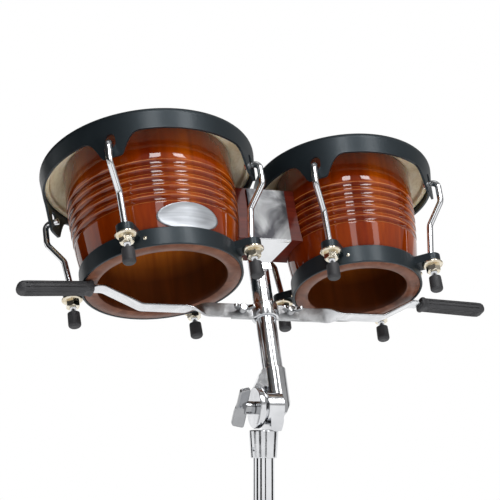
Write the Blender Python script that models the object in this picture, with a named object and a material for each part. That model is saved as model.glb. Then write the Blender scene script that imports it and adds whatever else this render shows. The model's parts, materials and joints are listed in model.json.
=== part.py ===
"""Bongo stand with its pair of drums: folding tripod, telescopic column, tilter, bracket and padded arms.

Metres, +Z up. The column stands on the Z axis while the pieces are made; the whole part is then moved so
that the middle of its bounding box stands over the origin, on the floor.
"""

from math import atan2, cos, pi, radians, sin, sqrt, tan

import bmesh
import bpy
from mathutils import Matrix, Vector

# Clearances
FIT = 0.0003
SLIDE = 0.0004
WELD = 0.00001
OVERRUN = 0.010

# Facets of the round pieces
TUBE_SIDES = 20
SHELL_SIDES = 32
HUB_SIDES = 24
SMALL_SIDES = 12
RIVET_SIDES = 8
ARC_STEPS = 4

# Column
MAIN_TUBE_RADIUS = 0.0143
MAIN_TUBE_TOP = 0.700
EXTENSION_RADIUS = 0.0111
TUBE_WALL = 0.0014
EXTENSION_OVERLAP = 0.250
HINGE_HEIGHT = 0.868
TUBE_END_MARGIN = 0.012

# Tripod
LEG_COUNT = 3
FIRST_LEG_AZIMUTH = radians(90)
LEG_PIVOT_HEIGHT = 0.400
LEG_SPREAD = radians(36)
LEG_FOLD = radians(28)
LEG_WIDTH = 0.016
LEG_PLATE = 0.0025
LEG_GAP = 0.008
LEG_STANDOFF = 0.0024
LEG_TONGUE = 0.045
PIN_RADIUS = 0.003
RIVET_RADIUS = 0.0052
RIVET_HEIGHT = 0.0014
BRACE_LENGTH = 0.160
BRACE_WIDTH = 0.014
COLLAR_WALL = 0.005
COLLAR_HEIGHT = 0.030
LUG_HEIGHT = 0.020
LUG_REACH = 0.008
SPIDER_WALL = 0.005
SPIDER_HEIGHT = 0.032
CHEEK = 0.0025
FOOT_SOLE = 0.018
FOOT_GRIP = 0.030
FOOT_WALL = 0.0035

# Height clamp and its wing bolt
CLAMP_SOCKET = 0.035
CLAMP_NECK = 0.030
CLAMP_WALL = 0.0045
CLAMP_BOSS_RADIUS = 0.0085
CLAMP_BOSS_REACH = 0.028
CLAMP_BOLT_RADIUS = 0.004
CLAMP_WING_SPAN = 0.036
CLAMP_WING_DEPTH = 0.019
CLAMP_WING_BARREL = 0.0075
CLAMP_WING_THICKNESS = 0.0035

# Tilter
POST_OFFSET = 0.0162
LEAN = radians(20.67)
HUB_FACE = 0.0002
DISC_RADIUS = 0.0215
DISC_WIDTH = 0.0055
FORK_WIDTH = 0.011
TONGUE_RADIUS = 0.017
TONGUE_WIDTH = 0.0171
HUB_EDGE = 0.0012
CHEEK_LOW = 0.011
CHEEK_SHOULDER = 0.0075
CHEEK_TOE = 0.003
CHEEK_WALL = 0.0034
NECK_START = 0.003
NECK_HALF_WIDTH = 0.014
SOCKET_WALL = 0.0022
SOCKET_FLOOR = 0.003
UPPER_SOCKET_BOTTOM = 0.0212
UPPER_SOCKET_TOP = 0.043
LOWER_SOCKET_TOP = 0.0228
LOWER_SOCKET_BOTTOM = 0.0515
LOWER_SOCKET_FLARE = 0.0018
WEB_HALF_WIDTH = 0.009
HINGE_BOLT_RADIUS = 0.004
BOLT_HEAD_RADIUS = 0.0065
BOLT_HEAD_HEIGHT = 0.0035
HINGE_WING_SPAN = 0.044
HINGE_WING_DEPTH = 0.0195
HINGE_WING_FOOT = 0.0075
HINGE_WING_BARREL = 0.0068
HINGE_WING_THICKNESS = 0.0055
HINGE_WING_CORNER = 0.003
HINGE_WING_TURN = radians(35)

# Post and drum bracket, in the drums' frame
POST_RADIUS = 0.0111
DRUMS_ABOVE_HINGE = 0.1392
DRUMS_FORWARD = 0.0035
POST_TOP = 0.042
PLATE_WIDTH = 0.044
PLATE_BOTTOM = 0.047
PLATE_MARGIN = 0.002
PLATE_THICKNESS = 0.0025
PLATE_BEND = 0.004
TONGUE_END = 0.020
TONGUE_REACH = 0.028
STUD_RADIUS = 0.004
STUD_HEIGHT = 0.078
STUD_END = 0.046
BRACKET_WING_SPAN = 0.034
BRACKET_WING_DEPTH = 0.017
BRACKET_WING_BARREL = 0.0075
BRACKET_WING_THICKNESS = 0.0035
WASHER_RADIUS = 0.012
WASHER_THICKNESS = 0.002

# Padded arms
ARM_WIDTH = 0.016
ARM_THICKNESS = 0.003
ARM_DROP = 0.028
ARM_EAR = 0.038
ARM_FILLET = 0.003
ARM_TWIST_START = 0.062
ARM_TWIST_END = 0.091
ARM_RISE_START = 0.138
ARM_RISE_END = 0.177
ARM_BEND = 0.012
ARM_DROOP = radians(2.7)
ARM_TONGUE_WIDTH = 0.012
ARM_TONGUE_LENGTH = 0.072
GRIP_START = 0.188
GRIP_LENGTH = 0.082
GRIP_WIDTH = 0.018
GRIP_THICKNESS = 0.013
GRIP_CORNER = 0.004
GRIP_TOUCH = 0.0004
ARM_SCREW_REACH = 0.0275
ARM_SCREW_RADIUS = 0.003
ARM_SCREW_END = 0.003
ARM_WING_SPAN = 0.024
ARM_WING_DEPTH = 0.013
ARM_WING_BARREL = 0.005
ARM_WING_THICKNESS = 0.0028

# Drums: the two sizes
DRUM_SPACING = 0.225
SPLAY = radians(1.58)
LARGE_BOTTOM_RADIUS = 0.084
LARGE_TOP_RADIUS = 0.092
LARGE_LUG_ANGLE = radians(-36.4)
SMALL_BOTTOM_RADIUS = 0.0695
SMALL_TOP_RADIUS = 0.0765
SMALL_LUG_ANGLE = radians(-40.7)

# Drums: what both share
SHELL_WALL = 0.0145
SHELL_HEIGHT = 0.141
FLARE_TOP = 0.100
EDGE_WIDTH = 0.006
COVE_COUNT = 5
COVE_START = 0.0528
COVE_PITCH = 0.0103
COVE_HALF_WIDTH = 0.0034
COVE_DEPTH = 0.0013
HEAD_OVERHANG = 0.026
SKIN_THICKNESS = 0.0014
HOOP_WIDTH = 0.0055
HOOP_HEIGHT = 0.006
HOOP_DROP = 0.014
RIM_THICKNESS = 0.0025
RIM_FLARE = 0.002
RIM_DROP = 0.0205
RIM_SHOULDER = 0.0015
RIM_RISE = 0.0045
EAR_DROP = 0.0465
EAR_TOP_HALF = 0.030
EAR_WAIST_HALF = 0.014
EAR_TIP_HALF = 0.011
EAR_HOLE_WIDTH = 0.011
EAR_HOLE_DROP = 0.019
HOOK_DROP = 0.032
HOOK_INSIDE = 0.0095
HOOK_BEND = 0.007
LUGS = 4
LUG_OUT = 0.0186
RING_HEIGHT = 0.020
RING_THICKNESS = 0.0025
RING_LUG_BOTTOM = 0.011
RING_LUG_HALF = 0.0095
ROD_RADIUS = 0.0035
ROD_BOW = 0.007
ROD_BOW_RUN = 0.025
ROD_KNEE_HEIGHT = 0.0575
ROD_KNEE_OUT = 0.0045
ROD_BEND = 0.012
ROD_END = 0.016
NUT_FLANGE_RADIUS = 0.0115
NUT_FLANGE_HEIGHT = 0.003
NUT_HEX_RADIUS = 0.0078
NUT_HEIGHT = 0.0104
CAP_TOP = 0.006
CAP_LENGTH = 0.017
CAP_RADIUS = 0.007

# Centre block
BLOCK_HALF_DEPTH = 0.025
BLOCK_GAP = 0.0105

# Sizes that follow from the ones above
MAIN_BORE_RADIUS = MAIN_TUBE_RADIUS - TUBE_WALL
COLLAR_RADIUS = MAIN_TUBE_RADIUS + FIT + COLLAR_WALL
LEG_PIVOT_RADIUS = COLLAR_RADIUS + LEG_STANDOFF + LEG_WIDTH / 2
LEG_LENGTH = LEG_PIVOT_HEIGHT / cos(LEG_SPREAD) - FOOT_SOLE
SPIDER_REST = LEG_PIVOT_HEIGHT - 2 * BRACE_LENGTH * cos(LEG_SPREAD)
SPIDER_FOLDED = LEG_PIVOT_HEIGHT - 2 * BRACE_LENGTH * cos(LEG_SPREAD - LEG_FOLD)
MAIN_TUBE_BOTTOM = SPIDER_FOLDED - SPIDER_HEIGHT / 2 - TUBE_END_MARGIN
CLAMP_BOLT_HEIGHT = MAIN_TUBE_TOP + CLAMP_NECK / 2
BRACKET_CENTRE = (LARGE_TOP_RADIUS - SMALL_TOP_RADIUS) / 2
HEAD_HEIGHT = SHELL_HEIGHT + FIT + SKIN_THICKNESS
RIM_BOTTOM = SHELL_HEIGHT - RIM_DROP
RIM_WIDEST = SHELL_HEIGHT - RIM_SHOULDER
RIM_TOP = SHELL_HEIGHT + RIM_RISE
EAR_TIP = SHELL_HEIGHT - EAR_DROP
EAR_HOLE_TOP = SHELL_HEIGHT - EAR_HOLE_DROP
HOOK_HEIGHT = SHELL_HEIGHT - HOOK_DROP
ROD_BOW_BOTTOM = HOOK_HEIGHT - ROD_BOW_RUN
BLOCK_TOP = RIM_BOTTOM - BLOCK_GAP
PLATE_TOP = BLOCK_TOP - PLATE_MARGIN
STRAP_OFFSET = (FIT + ARM_THICKNESS) / 2
ARM_RISE_HEIGHT = (
    (GRIP_START - ARM_RISE_END) * tan(ARM_DROOP)
    - (GRIP_START - DRUM_SPACING / 2) * sin(SPLAY)
    - GRIP_TOUCH
    - GRIP_THICKNESS / 2
)


def clear_scene():
    for obj in list(bpy.data.objects):
        bpy.data.objects.remove(obj, do_unlink=True)


def make_material(name, colour, roughness, metallic):
    material = bpy.data.materials.new(name)
    material.use_nodes = True
    shader = material.node_tree.nodes["Principled BSDF"]
    shader.inputs["Base Color"].default_value = (*colour, 1.0)
    shader.inputs["Roughness"].default_value = roughness
    shader.inputs["Metallic"].default_value = metallic
    material.diffuse_color = (*colour, 1.0)
    return material


def make_materials():
    return {
        "chrome": make_material("chrome", (0.80, 0.81, 0.83), 0.12, 1.0),
        "cast_chrome": make_material("cast_chrome", (0.74, 0.75, 0.76), 0.22, 1.0),
        "zinc": make_material("zinc", (0.72, 0.66, 0.55), 0.28, 1.0),
        "black_steel": make_material("black_steel", (0.025, 0.028, 0.032), 0.38, 0.0),
        "rubber": make_material("rubber", (0.030, 0.030, 0.032), 0.72, 0.0),
        "lacquered_wood": make_material("lacquered_wood", (0.32, 0.07, 0.015), 0.20, 0.0),
        "block_wood": make_material("block_wood", (0.16, 0.025, 0.012), 0.25, 0.0),
        "skin": make_material("skin", (0.84, 0.76, 0.58), 0.55, 0.0),
    }


# Mesh tools


def finished(bm):
    """The bmesh as a mesh with its faces pointing out."""
    bmesh.ops.recalc_face_normals(bm, faces=bm.faces)
    mesh = bpy.data.meshes.new("mesh")
    bm.to_mesh(mesh)
    bm.free()
    return mesh


def turned(profile, sides):
    """A (radius, height) outline spun about Z; an outline that starts and ends at radius 0 is open."""
    bm = bmesh.new()
    verts = [bm.verts.new((radius, 0, height)) for radius, height in profile]
    pairs = list(zip(verts, verts[1:]))
    if profile[0][0] > 0:
        pairs.append((verts[-1], verts[0]))
    edges = [bm.edges.new(pair) for pair in pairs]
    bmesh.ops.spin(bm, geom=verts + edges, axis=(0, 0, 1), cent=(0, 0, 0), angle=2 * pi, steps=sides)
    bmesh.ops.remove_doubles(bm, verts=bm.verts, dist=WELD)
    return finished(bm)


def lofted(rings):
    """A closed solid through rings of the same number of points."""
    bm = bmesh.new()
    rows = [[bm.verts.new(point) for point in ring] for ring in rings]
    count = len(rows[0])
    for lower, upper in zip(rows, rows[1:]):
        for i in range(count):
            j = (i + 1) % count
            bm.faces.new((lower[i], lower[j], upper[j], upper[i]))
    bm.faces.new(rows[0][::-1])
    bm.faces.new(rows[-1])
    return finished(bm)


def extruded(outline, axis, start, end):
    """A flat outline drawn out along one axis; its two coordinates are the other two axes in order."""

    def ring(level):
        points = []
        for first, second in outline:
            values = [first, second]
            values.insert("XYZ".index(axis), level)
            points.append(values)
        return points

    return lofted([ring(start), ring(end)])


def box(x0, x1, y0, y1, z0, z1):
    return extruded([(x0, y0), (x1, y0), (x1, y1), (x0, y1)], "Z", z0, z1)


def rod(radius, start, end, sides=SMALL_SIDES):
    """A round bar along Z."""
    return turned([(0, start), (radius, start), (radius, end), (0, end)], sides)


def bore(radius, start, end, sides=SMALL_SIDES):
    """A round cutter along Z whose flats, and not its corners, lie at the radius."""
    return rod(radius / cos(pi / sides), start, end, sides)


def moved(mesh, matrix):
    mesh.transform(matrix)
    return mesh


def along(mesh, axis):
    """Turns a mesh made along Z so that its Z lies along another axis."""
    turn = Vector((0, 0, 1)).rotation_difference(Vector(axis)).to_matrix().to_4x4()
    return moved(mesh, turn)


def shifted(mesh, x=0.0, y=0.0, z=0.0):
    return moved(mesh, Matrix.Translation((x, y, z)))


def boolean(base, tool, operation):
    """One mesh joined with or cut by another."""
    body = bpy.data.objects.new("body", base)
    helper = bpy.data.objects.new("helper", tool)
    bpy.context.collection.objects.link(body)
    bpy.context.collection.objects.link(helper)
    modifier = body.modifiers.new("boolean", "BOOLEAN")
    modifier.operation = operation
    modifier.solver = "EXACT"
    modifier.object = helper
    evaluated = body.evaluated_get(bpy.context.evaluated_depsgraph_get())
    result = bpy.data.meshes.new_from_object(evaluated)
    bpy.data.objects.remove(body, do_unlink=True)
    bpy.data.objects.remove(helper, do_unlink=True)
    return result


def joined(base, *others):
    for other in others:
        base = boolean(base, other, "UNION")
    return base


def cut(base, *tools):
    for tool in tools:
        base = boolean(base, tool, "DIFFERENCE")
    return base


def arc(centre, radius, start, end, steps=ARC_STEPS):
    """Points of a flat arc, both ends included."""
    points = []
    for i in range(steps + 1):
        angle = start + (end - start) * i / steps
        points.append((centre[0] + radius * cos(angle), centre[1] + radius * sin(angle)))
    return points


def bent_path(corners, bends, steps=ARC_STEPS):
    """A flat polyline with each inner corner rounded to its bend radius."""
    points = [Vector(corners[0])]
    for before, corner, after, bend in zip(corners, corners[1:], corners[2:], bends):
        corner = Vector(corner)
        back = (Vector(before) - corner).normalized()
        ahead = (Vector(after) - corner).normalized()
        half = back.angle(ahead) / 2
        run = bend / tan(half)
        centre = corner + (back + ahead).normalized() * bend / sin(half)
        first = corner + back * run - centre
        last = corner + ahead * run - centre
        sweep = first.angle_signed(last)
        for i in range(steps + 1):
            turn = Matrix.Rotation(-sweep * i / steps, 2)
            points.append(centre + turn @ first)
    points.append(Vector(corners[-1]))
    return [(point.x, point.y) for point in points]


def rounded_rectangle(width, height, corner):
    """Outline of a rectangle about the origin, with cut corners."""
    x = width / 2
    y = height / 2
    return [
        (x - corner, -y), (x, corner - y), (x, y - corner), (x - corner, y),
        (corner - x, y), (-x, y - corner), (-x, corner - y), (corner - x, -y),
    ]


def stadium(width, top, bottom):
    """Outline of a strap that hangs down the second coordinate, round at both ends."""
    half = width / 2
    return arc((0, top), half, 0, pi) + arc((0, bottom), half, pi, 2 * pi)


def wing_head(span, depth, barrel_radius, thickness):
    """Barrel and two wings about Z, from its seat at 0 outwards."""
    half = span / 2
    side = [
        (0, depth * 0.12), (barrel_radius, depth * 0.18), (half * 0.72, depth * 0.36),
        (half * 0.97, depth * 0.66), (half, depth * 0.86), (half * 0.88, depth), (half * 0.66, depth * 0.96),
        (barrel_radius, depth * 0.62), (0, depth * 0.60),
    ]
    other = [(-x, z) for x, z in side[-2:0:-1]]
    wings = extruded(side + other, "Y", -thickness / 2, thickness / 2)
    barrel = turned(
        [
            (0, 0), (barrel_radius, 0), (barrel_radius, depth * 0.30),
            (barrel_radius * 0.85, depth * 0.66), (0, depth * 0.66),
        ],
        SMALL_SIDES,
    )
    return joined(barrel, wings)


def paddle_head(span, depth, foot, barrel_radius, thickness, corner):
    """Barrel about Z with one broad bar across its outer end."""
    half = span / 2
    outline = [
        (-half, foot + corner), (-half + corner, foot), (half - corner, foot), (half, foot + corner),
        (half, depth - corner), (half - corner, depth), (-half + corner, depth), (-half, depth - corner),
    ]
    bar = extruded(outline, "Y", -thickness / 2, thickness / 2)
    return joined(rod(barrel_radius, 0, (foot + depth) / 2), bar)


# Scene tools


def add_empty(name, parent=None, location=(0, 0, 0), rotation=(0, 0, 0)):
    empty = bpy.data.objects.new(name, None)
    bpy.context.collection.objects.link(empty)
    empty.empty_display_size = 0.02
    empty.parent = parent
    empty.location = location
    empty.rotation_euler = rotation
    return empty


def add_piece(name, mesh, material, parent, location=(0, 0, 0), rotation=(0, 0, 0)):
    """One named sub-part; a mesh that another piece already uses is shared."""
    if not mesh.materials:
        mesh.materials.append(material)
        mesh.shade_smooth()
        mesh.set_sharp_from_angle(angle=radians(35))
        mesh.name = name
    mesh.materials[0] = material
    piece = bpy.data.objects.new(name, mesh)
    bpy.context.collection.objects.link(piece)
    piece.parent = parent
    piece.location = location
    piece.rotation_euler = rotation
    return piece


# Column


def main_tube():
    return turned(
        [
            (MAIN_TUBE_RADIUS, MAIN_TUBE_BOTTOM), (MAIN_TUBE_RADIUS, MAIN_TUBE_TOP),
            (MAIN_BORE_RADIUS, MAIN_TUBE_TOP), (MAIN_BORE_RADIUS, MAIN_TUBE_BOTTOM),
        ],
        TUBE_SIDES,
    )


def extension_tube():
    """In the hinge's frame, from the floor of the lower casting's socket down into the main tube."""
    top = -LOWER_SOCKET_TOP - SOCKET_FLOOR - FIT
    bottom = MAIN_TUBE_TOP - EXTENSION_OVERLAP - HINGE_HEIGHT
    inner = EXTENSION_RADIUS - TUBE_WALL
    return turned(
        [(EXTENSION_RADIUS, bottom), (EXTENSION_RADIUS, top), (inner, top), (inner, bottom)], TUBE_SIDES
    )


def height_clamp():
    """A casting that caps the main tube and guides the extension tube, with a boss for the wing bolt."""
    socket = MAIN_TUBE_RADIUS + FIT
    neck = EXTENSION_RADIUS + SLIDE
    outer = socket + CLAMP_WALL
    bottom = MAIN_TUBE_TOP - CLAMP_SOCKET
    step = MAIN_TUBE_TOP + FIT
    top = MAIN_TUBE_TOP + CLAMP_NECK
    body = turned(
        [
            (outer - 0.001, bottom), (outer, bottom + 0.001), (outer, top - 0.004), (outer - 0.004, top),
            (neck, top), (neck, step), (socket, step), (socket, bottom),
        ],
        TUBE_SIDES,
    )
    boss = rod(CLAMP_BOSS_RADIUS, (neck + outer) / 2, CLAMP_BOSS_REACH, TUBE_SIDES)
    hole = bore(CLAMP_BOLT_RADIUS + FIT, 0, CLAMP_BOSS_REACH + OVERRUN)
    boss = shifted(along(boss, (-1, 0, 0)), z=CLAMP_BOLT_HEIGHT)
    hole = shifted(along(hole, (-1, 0, 0)), z=CLAMP_BOLT_HEIGHT)
    return cut(joined(body, boss), hole)


def height_wing_bolt():
    """Along Z, with its seat on the boss at 0 and its tip just off the extension tube."""
    reach = CLAMP_BOSS_REACH + FIT - EXTENSION_RADIUS - FIT
    head = wing_head(CLAMP_WING_SPAN, CLAMP_WING_DEPTH, CLAMP_WING_BARREL, CLAMP_WING_THICKNESS)
    return joined(head, rod(CLAMP_BOLT_RADIUS, -reach, CLAMP_WING_DEPTH / 3))


# Tripod


def leg_collar():
    inner = MAIN_TUBE_RADIUS + FIT
    half = COLLAR_HEIGHT / 2
    body = turned(
        [
            (inner, -half), (COLLAR_RADIUS - 0.001, -half), (COLLAR_RADIUS, 0.001 - half),
            (COLLAR_RADIUS, half - 0.001), (COLLAR_RADIUS - 0.001, half), (inner, half),
        ],
        TUBE_SIDES,
    )
    lug_half = LEG_GAP / 2 - FIT
    low = LUG_HEIGHT / 2
    nose = arc((LEG_PIVOT_RADIUS, 0), LUG_REACH, -pi / 2, pi / 2)
    outline = [(COLLAR_RADIUS - COLLAR_WALL / 2, low), (COLLAR_RADIUS - COLLAR_WALL / 2, -low)] + nose
    for azimuth in leg_azimuths():
        lug = extruded(outline, "Y", -lug_half, lug_half)
        hole = shifted(along(bore(PIN_RADIUS + FIT, -OVERRUN, OVERRUN), (0, 1, 0)), x=LEG_PIVOT_RADIUS)
        body = joined(body, moved(cut(lug, hole), Matrix.Rotation(azimuth, 4, "Z")))
    return body


def leg_azimuths():
    return [FIRST_LEG_AZIMUTH + 2 * pi * i / LEG_COUNT for i in range(LEG_COUNT)]


def cross_rivet(height):
    """A rivet along Y through both straps of a leg, with a head outside each."""
    face = LEG_GAP / 2 + LEG_PLATE
    end = face + RIVET_HEIGHT
    sunk = face - LEG_PLATE / 3
    profile = [
        (0, -end), (RIVET_RADIUS * 0.7, -end), (RIVET_RADIUS, -face), (RIVET_RADIUS, -sunk),
        (PIN_RADIUS, -sunk), (PIN_RADIUS, sunk), (RIVET_RADIUS, sunk), (RIVET_RADIUS, face),
        (RIVET_RADIUS * 0.7, end), (0, end),
    ]
    return shifted(along(turned(profile, RIVET_SIDES), (0, 1, 0)), z=height)


def leg():
    """Two straps hanging down Z from the pivot, held apart by rivets and by the tongue that the foot grips."""
    inner = LEG_GAP / 2
    outer = inner + LEG_PLATE
    half = LEG_WIDTH / 2
    outline = arc((0, 0), half, 0, pi) + [(-half, -LEG_LENGTH), (half, -LEG_LENGTH)]
    near = extruded(outline, "Y", -outer, -inner)
    far = extruded(outline, "Y", inner, outer)
    tongue = box(-half, half, -inner - LEG_PLATE / 2, inner + LEG_PLATE / 2, -LEG_LENGTH, LEG_TONGUE - LEG_LENGTH)
    return joined(near, tongue, far, cross_rivet(0), cross_rivet(-BRACE_LENGTH))


def sole_height(x):
    """Height of the floor in a leg's own frame, at a distance from the leg's middle line."""
    return -(LEG_PIVOT_HEIGHT + x * sin(LEG_SPREAD)) / cos(LEG_SPREAD)


def foot():
    """A rubber boot round the leg's end, cut flat where it stands."""
    width = LEG_WIDTH + 2 * (FIT + FOOT_WALL)
    depth = LEG_GAP + 2 * (LEG_PLATE + FIT + FOOT_WALL)
    top = FOOT_GRIP - LEG_LENGTH
    slimmer = 0.0015
    upper = rounded_rectangle(width - 2 * slimmer, depth - 2 * slimmer, 0.003)
    lower = rounded_rectangle(width, depth, 0.003)
    body = lofted(
        [
            [(x, y, sole_height(x)) for x, y in lower],
            [(x, y, -LEG_LENGTH + FOOT_GRIP / 3) for x, y in lower],
            [(x, y, top) for x, y in upper],
        ]
    )
    half = LEG_WIDTH / 2 + FIT
    side = LEG_GAP / 2 + LEG_PLATE + FIT
    return cut(body, box(-half, half, -side, side, -LEG_LENGTH - FIT, top + OVERRUN))


def brace():
    """A bar hanging down Z from its pivot on the leg; its lower end sits in the spider's fork."""
    half = LEG_GAP / 2 - FIT
    bar = extruded(stadium(BRACE_WIDTH, 0, -BRACE_LENGTH), "Y", -half, half)
    return cut(bar, along(bore(PIN_RADIUS + FIT, -OVERRUN, OVERRUN), (0, 1, 0)))


def spider():
    """A sliding ring with a fork for each brace."""
    inner = MAIN_TUBE_RADIUS + SLIDE
    outer = MAIN_TUBE_RADIUS + SLIDE + SPIDER_WALL
    half = SPIDER_HEIGHT / 2
    body = turned([(inner, -half), (outer, -half), (outer, half), (inner, half)], TUBE_SIDES)
    root = outer - SPIDER_WALL / 2
    tip = LEG_PIVOT_RADIUS + BRACE_WIDTH / 2
    outline = [
        (root, -half), (tip - 0.006, -half), (tip, 0.006 - half),
        (tip, half - 0.006), (tip - 0.006, half), (root, half),
    ]
    face = LEG_GAP / 2 + CHEEK
    for azimuth in leg_azimuths():
        for side in (-1, 1):
            cheek = extruded(outline, "Y", side * LEG_GAP / 2, side * face)
            head = rod(RIVET_RADIUS, face - CHEEK / 3, face + RIVET_HEIGHT, RIVET_SIDES)
            head = shifted(along(head, (0, side, 0)), x=LEG_PIVOT_RADIUS)
            body = joined(body, moved(joined(cheek, head), Matrix.Rotation(azimuth, 4, "Z")))
    return body


# Tilter, in frames whose origin is the hinge


def lower_tilter():
    """Socket on the extension tube, and a neck on its right that carries the tongue between the fork's sides."""
    socket = EXTENSION_RADIUS + FIT
    outer = socket + SOCKET_WALL
    flared = outer + LOWER_SOCKET_FLARE
    body = turned(
        [
            (0, -LOWER_SOCKET_BOTTOM), (outer, -LOWER_SOCKET_BOTTOM), (flared, -LOWER_SOCKET_TOP - HUB_EDGE),
            (flared - HUB_EDGE, -LOWER_SOCKET_TOP), (0, -LOWER_SOCKET_TOP),
        ],
        TUBE_SIDES,
    )
    end = HUB_FACE + TONGUE_WIDTH
    tongue = along(rod(TONGUE_RADIUS, HUB_FACE, end, HUB_SIDES), (1, 0, 0))
    foot = -LOWER_SOCKET_TOP - HUB_EDGE
    shoulder = [
        (NECK_START, foot), (NECK_START, -TONGUE_RADIUS / 2), (end - FIT, -TONGUE_RADIUS / 4),
        (end - FIT, -TONGUE_RADIUS * 0.9), (flared - HUB_EDGE / 2, foot + HUB_EDGE), (flared - HUB_EDGE, foot),
    ]
    neck = extruded(shoulder, "Y", -NECK_HALF_WIDTH, NECK_HALF_WIDTH)
    body = joined(body, tongue, neck)
    channel = bore(socket, -LOWER_SOCKET_BOTTOM - OVERRUN, -LOWER_SOCKET_TOP - SOCKET_FLOOR, TUBE_SIDES)
    hole = along(bore(HINGE_BOLT_RADIUS + FIT, -OVERRUN, end + OVERRUN), (1, 0, 0))
    return cut(body, channel, hole)


def upper_tilter():
    """Fork with a round disc on the left and a slanted cheek on the right, under the post's socket at X 0."""
    socket = POST_RADIUS + FIT
    outer = socket + SOCKET_WALL
    left = HUB_FACE - FORK_WIDTH - POST_OFFSET
    inside = HUB_FACE - FIT - POST_OFFSET
    right = HUB_FACE + TONGUE_WIDTH + FIT - POST_OFFSET
    body = turned(
        [
            (0, -CHEEK_LOW), (outer, -CHEEK_LOW), (outer, UPPER_SOCKET_TOP - HUB_EDGE),
            (outer - HUB_EDGE, UPPER_SOCKET_TOP), (0, UPPER_SOCKET_TOP),
        ],
        TUBE_SIDES,
    )
    room = TONGUE_RADIUS + FIT
    saddle = along(bore(room, left - OVERRUN, right, HUB_SIDES), (1, 0, 0))
    below = box(left - OVERRUN, right, -outer - OVERRUN, outer + OVERRUN, -CHEEK_LOW - OVERRUN, 0)
    slant = extruded(
        [
            (CHEEK_TOE, -CHEEK_LOW), (CHEEK_TOE, -CHEEK_LOW - OVERRUN), (outer + OVERRUN, -CHEEK_LOW - OVERRUN),
            (outer + OVERRUN, CHEEK_SHOULDER), (outer, CHEEK_SHOULDER),
        ],
        "Y", -outer - OVERRUN, outer + OVERRUN,
    )
    body = cut(body, saddle, below, slant)
    disc = turned(
        [
            (0, left), (DISC_RADIUS - HUB_EDGE, left), (DISC_RADIUS, left + HUB_EDGE),
            (DISC_RADIUS, left + DISC_WIDTH), (TONGUE_RADIUS, inside), (0, inside),
        ],
        HUB_SIDES,
    )
    gusset = [
        (left + HUB_EDGE, DISC_RADIUS / 2), (inside, DISC_RADIUS / 2),
        (inside, UPPER_SOCKET_BOTTOM), (-outer * 0.6, UPPER_SOCKET_BOTTOM),
        (-outer * 0.6, UPPER_SOCKET_TOP - HUB_EDGE), (-outer, UPPER_SOCKET_TOP - HUB_EDGE),
        (left + HUB_EDGE, DISC_RADIUS - HUB_EDGE),
    ]
    web = extruded(gusset, "Y", -WEB_HALF_WIDTH, WEB_HALF_WIDTH)
    body = joined(body, along(disc, (1, 0, 0)), web)
    channel = bore(socket, UPPER_SOCKET_BOTTOM + SOCKET_FLOOR, UPPER_SOCKET_TOP + OVERRUN, TUBE_SIDES)
    hole = along(bore(HINGE_BOLT_RADIUS + FIT, left - OVERRUN, outer + OVERRUN), (1, 0, 0))
    recess = bore(BOLT_HEAD_RADIUS + FIT, right + CHEEK_WALL, outer + OVERRUN)
    return cut(body, channel, hole, along(recess, (1, 0, 0)))


def tilter_bolt():
    """Along X from its head in the cheek's recess to its end inside the wing nut on the left."""
    head = HUB_FACE + TONGUE_WIDTH + FIT + CHEEK_WALL + FIT
    tip = HUB_FACE - FORK_WIDTH - HINGE_WING_FOOT
    profile = [
        (0, tip), (HINGE_BOLT_RADIUS, tip), (HINGE_BOLT_RADIUS, head), (BOLT_HEAD_RADIUS, head),
        (BOLT_HEAD_RADIUS * 0.7, head + BOLT_HEAD_HEIGHT), (0, head + BOLT_HEAD_HEIGHT),
    ]
    return along(turned(profile, SMALL_SIDES), (1, 0, 0))


def tilter_wing_nut():
    """Along Z, closed over the bolt's end, with its bar turned to where it is left when the tilt is set."""
    head = paddle_head(
        HINGE_WING_SPAN, HINGE_WING_DEPTH, HINGE_WING_FOOT, HINGE_WING_BARREL,
        HINGE_WING_THICKNESS, HINGE_WING_CORNER,
    )
    nut = cut(head, bore(HINGE_BOLT_RADIUS + FIT, -OVERRUN, HINGE_WING_FOOT))
    return moved(nut, Matrix.Rotation(-HINGE_WING_TURN, 4, "Z"))


# Post and bracket, in the tilting frame: origin at the hinge, Z along the post


def drum_level(height):
    """Height above the hinge of a height given above the drums' lower edge."""
    return DRUMS_ABOVE_HINGE + height


def plate_face():
    """Where the bracket plate's back lies, in front of the block."""
    return -DRUMS_FORWARD - BLOCK_HALF_DEPTH - FIT


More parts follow.
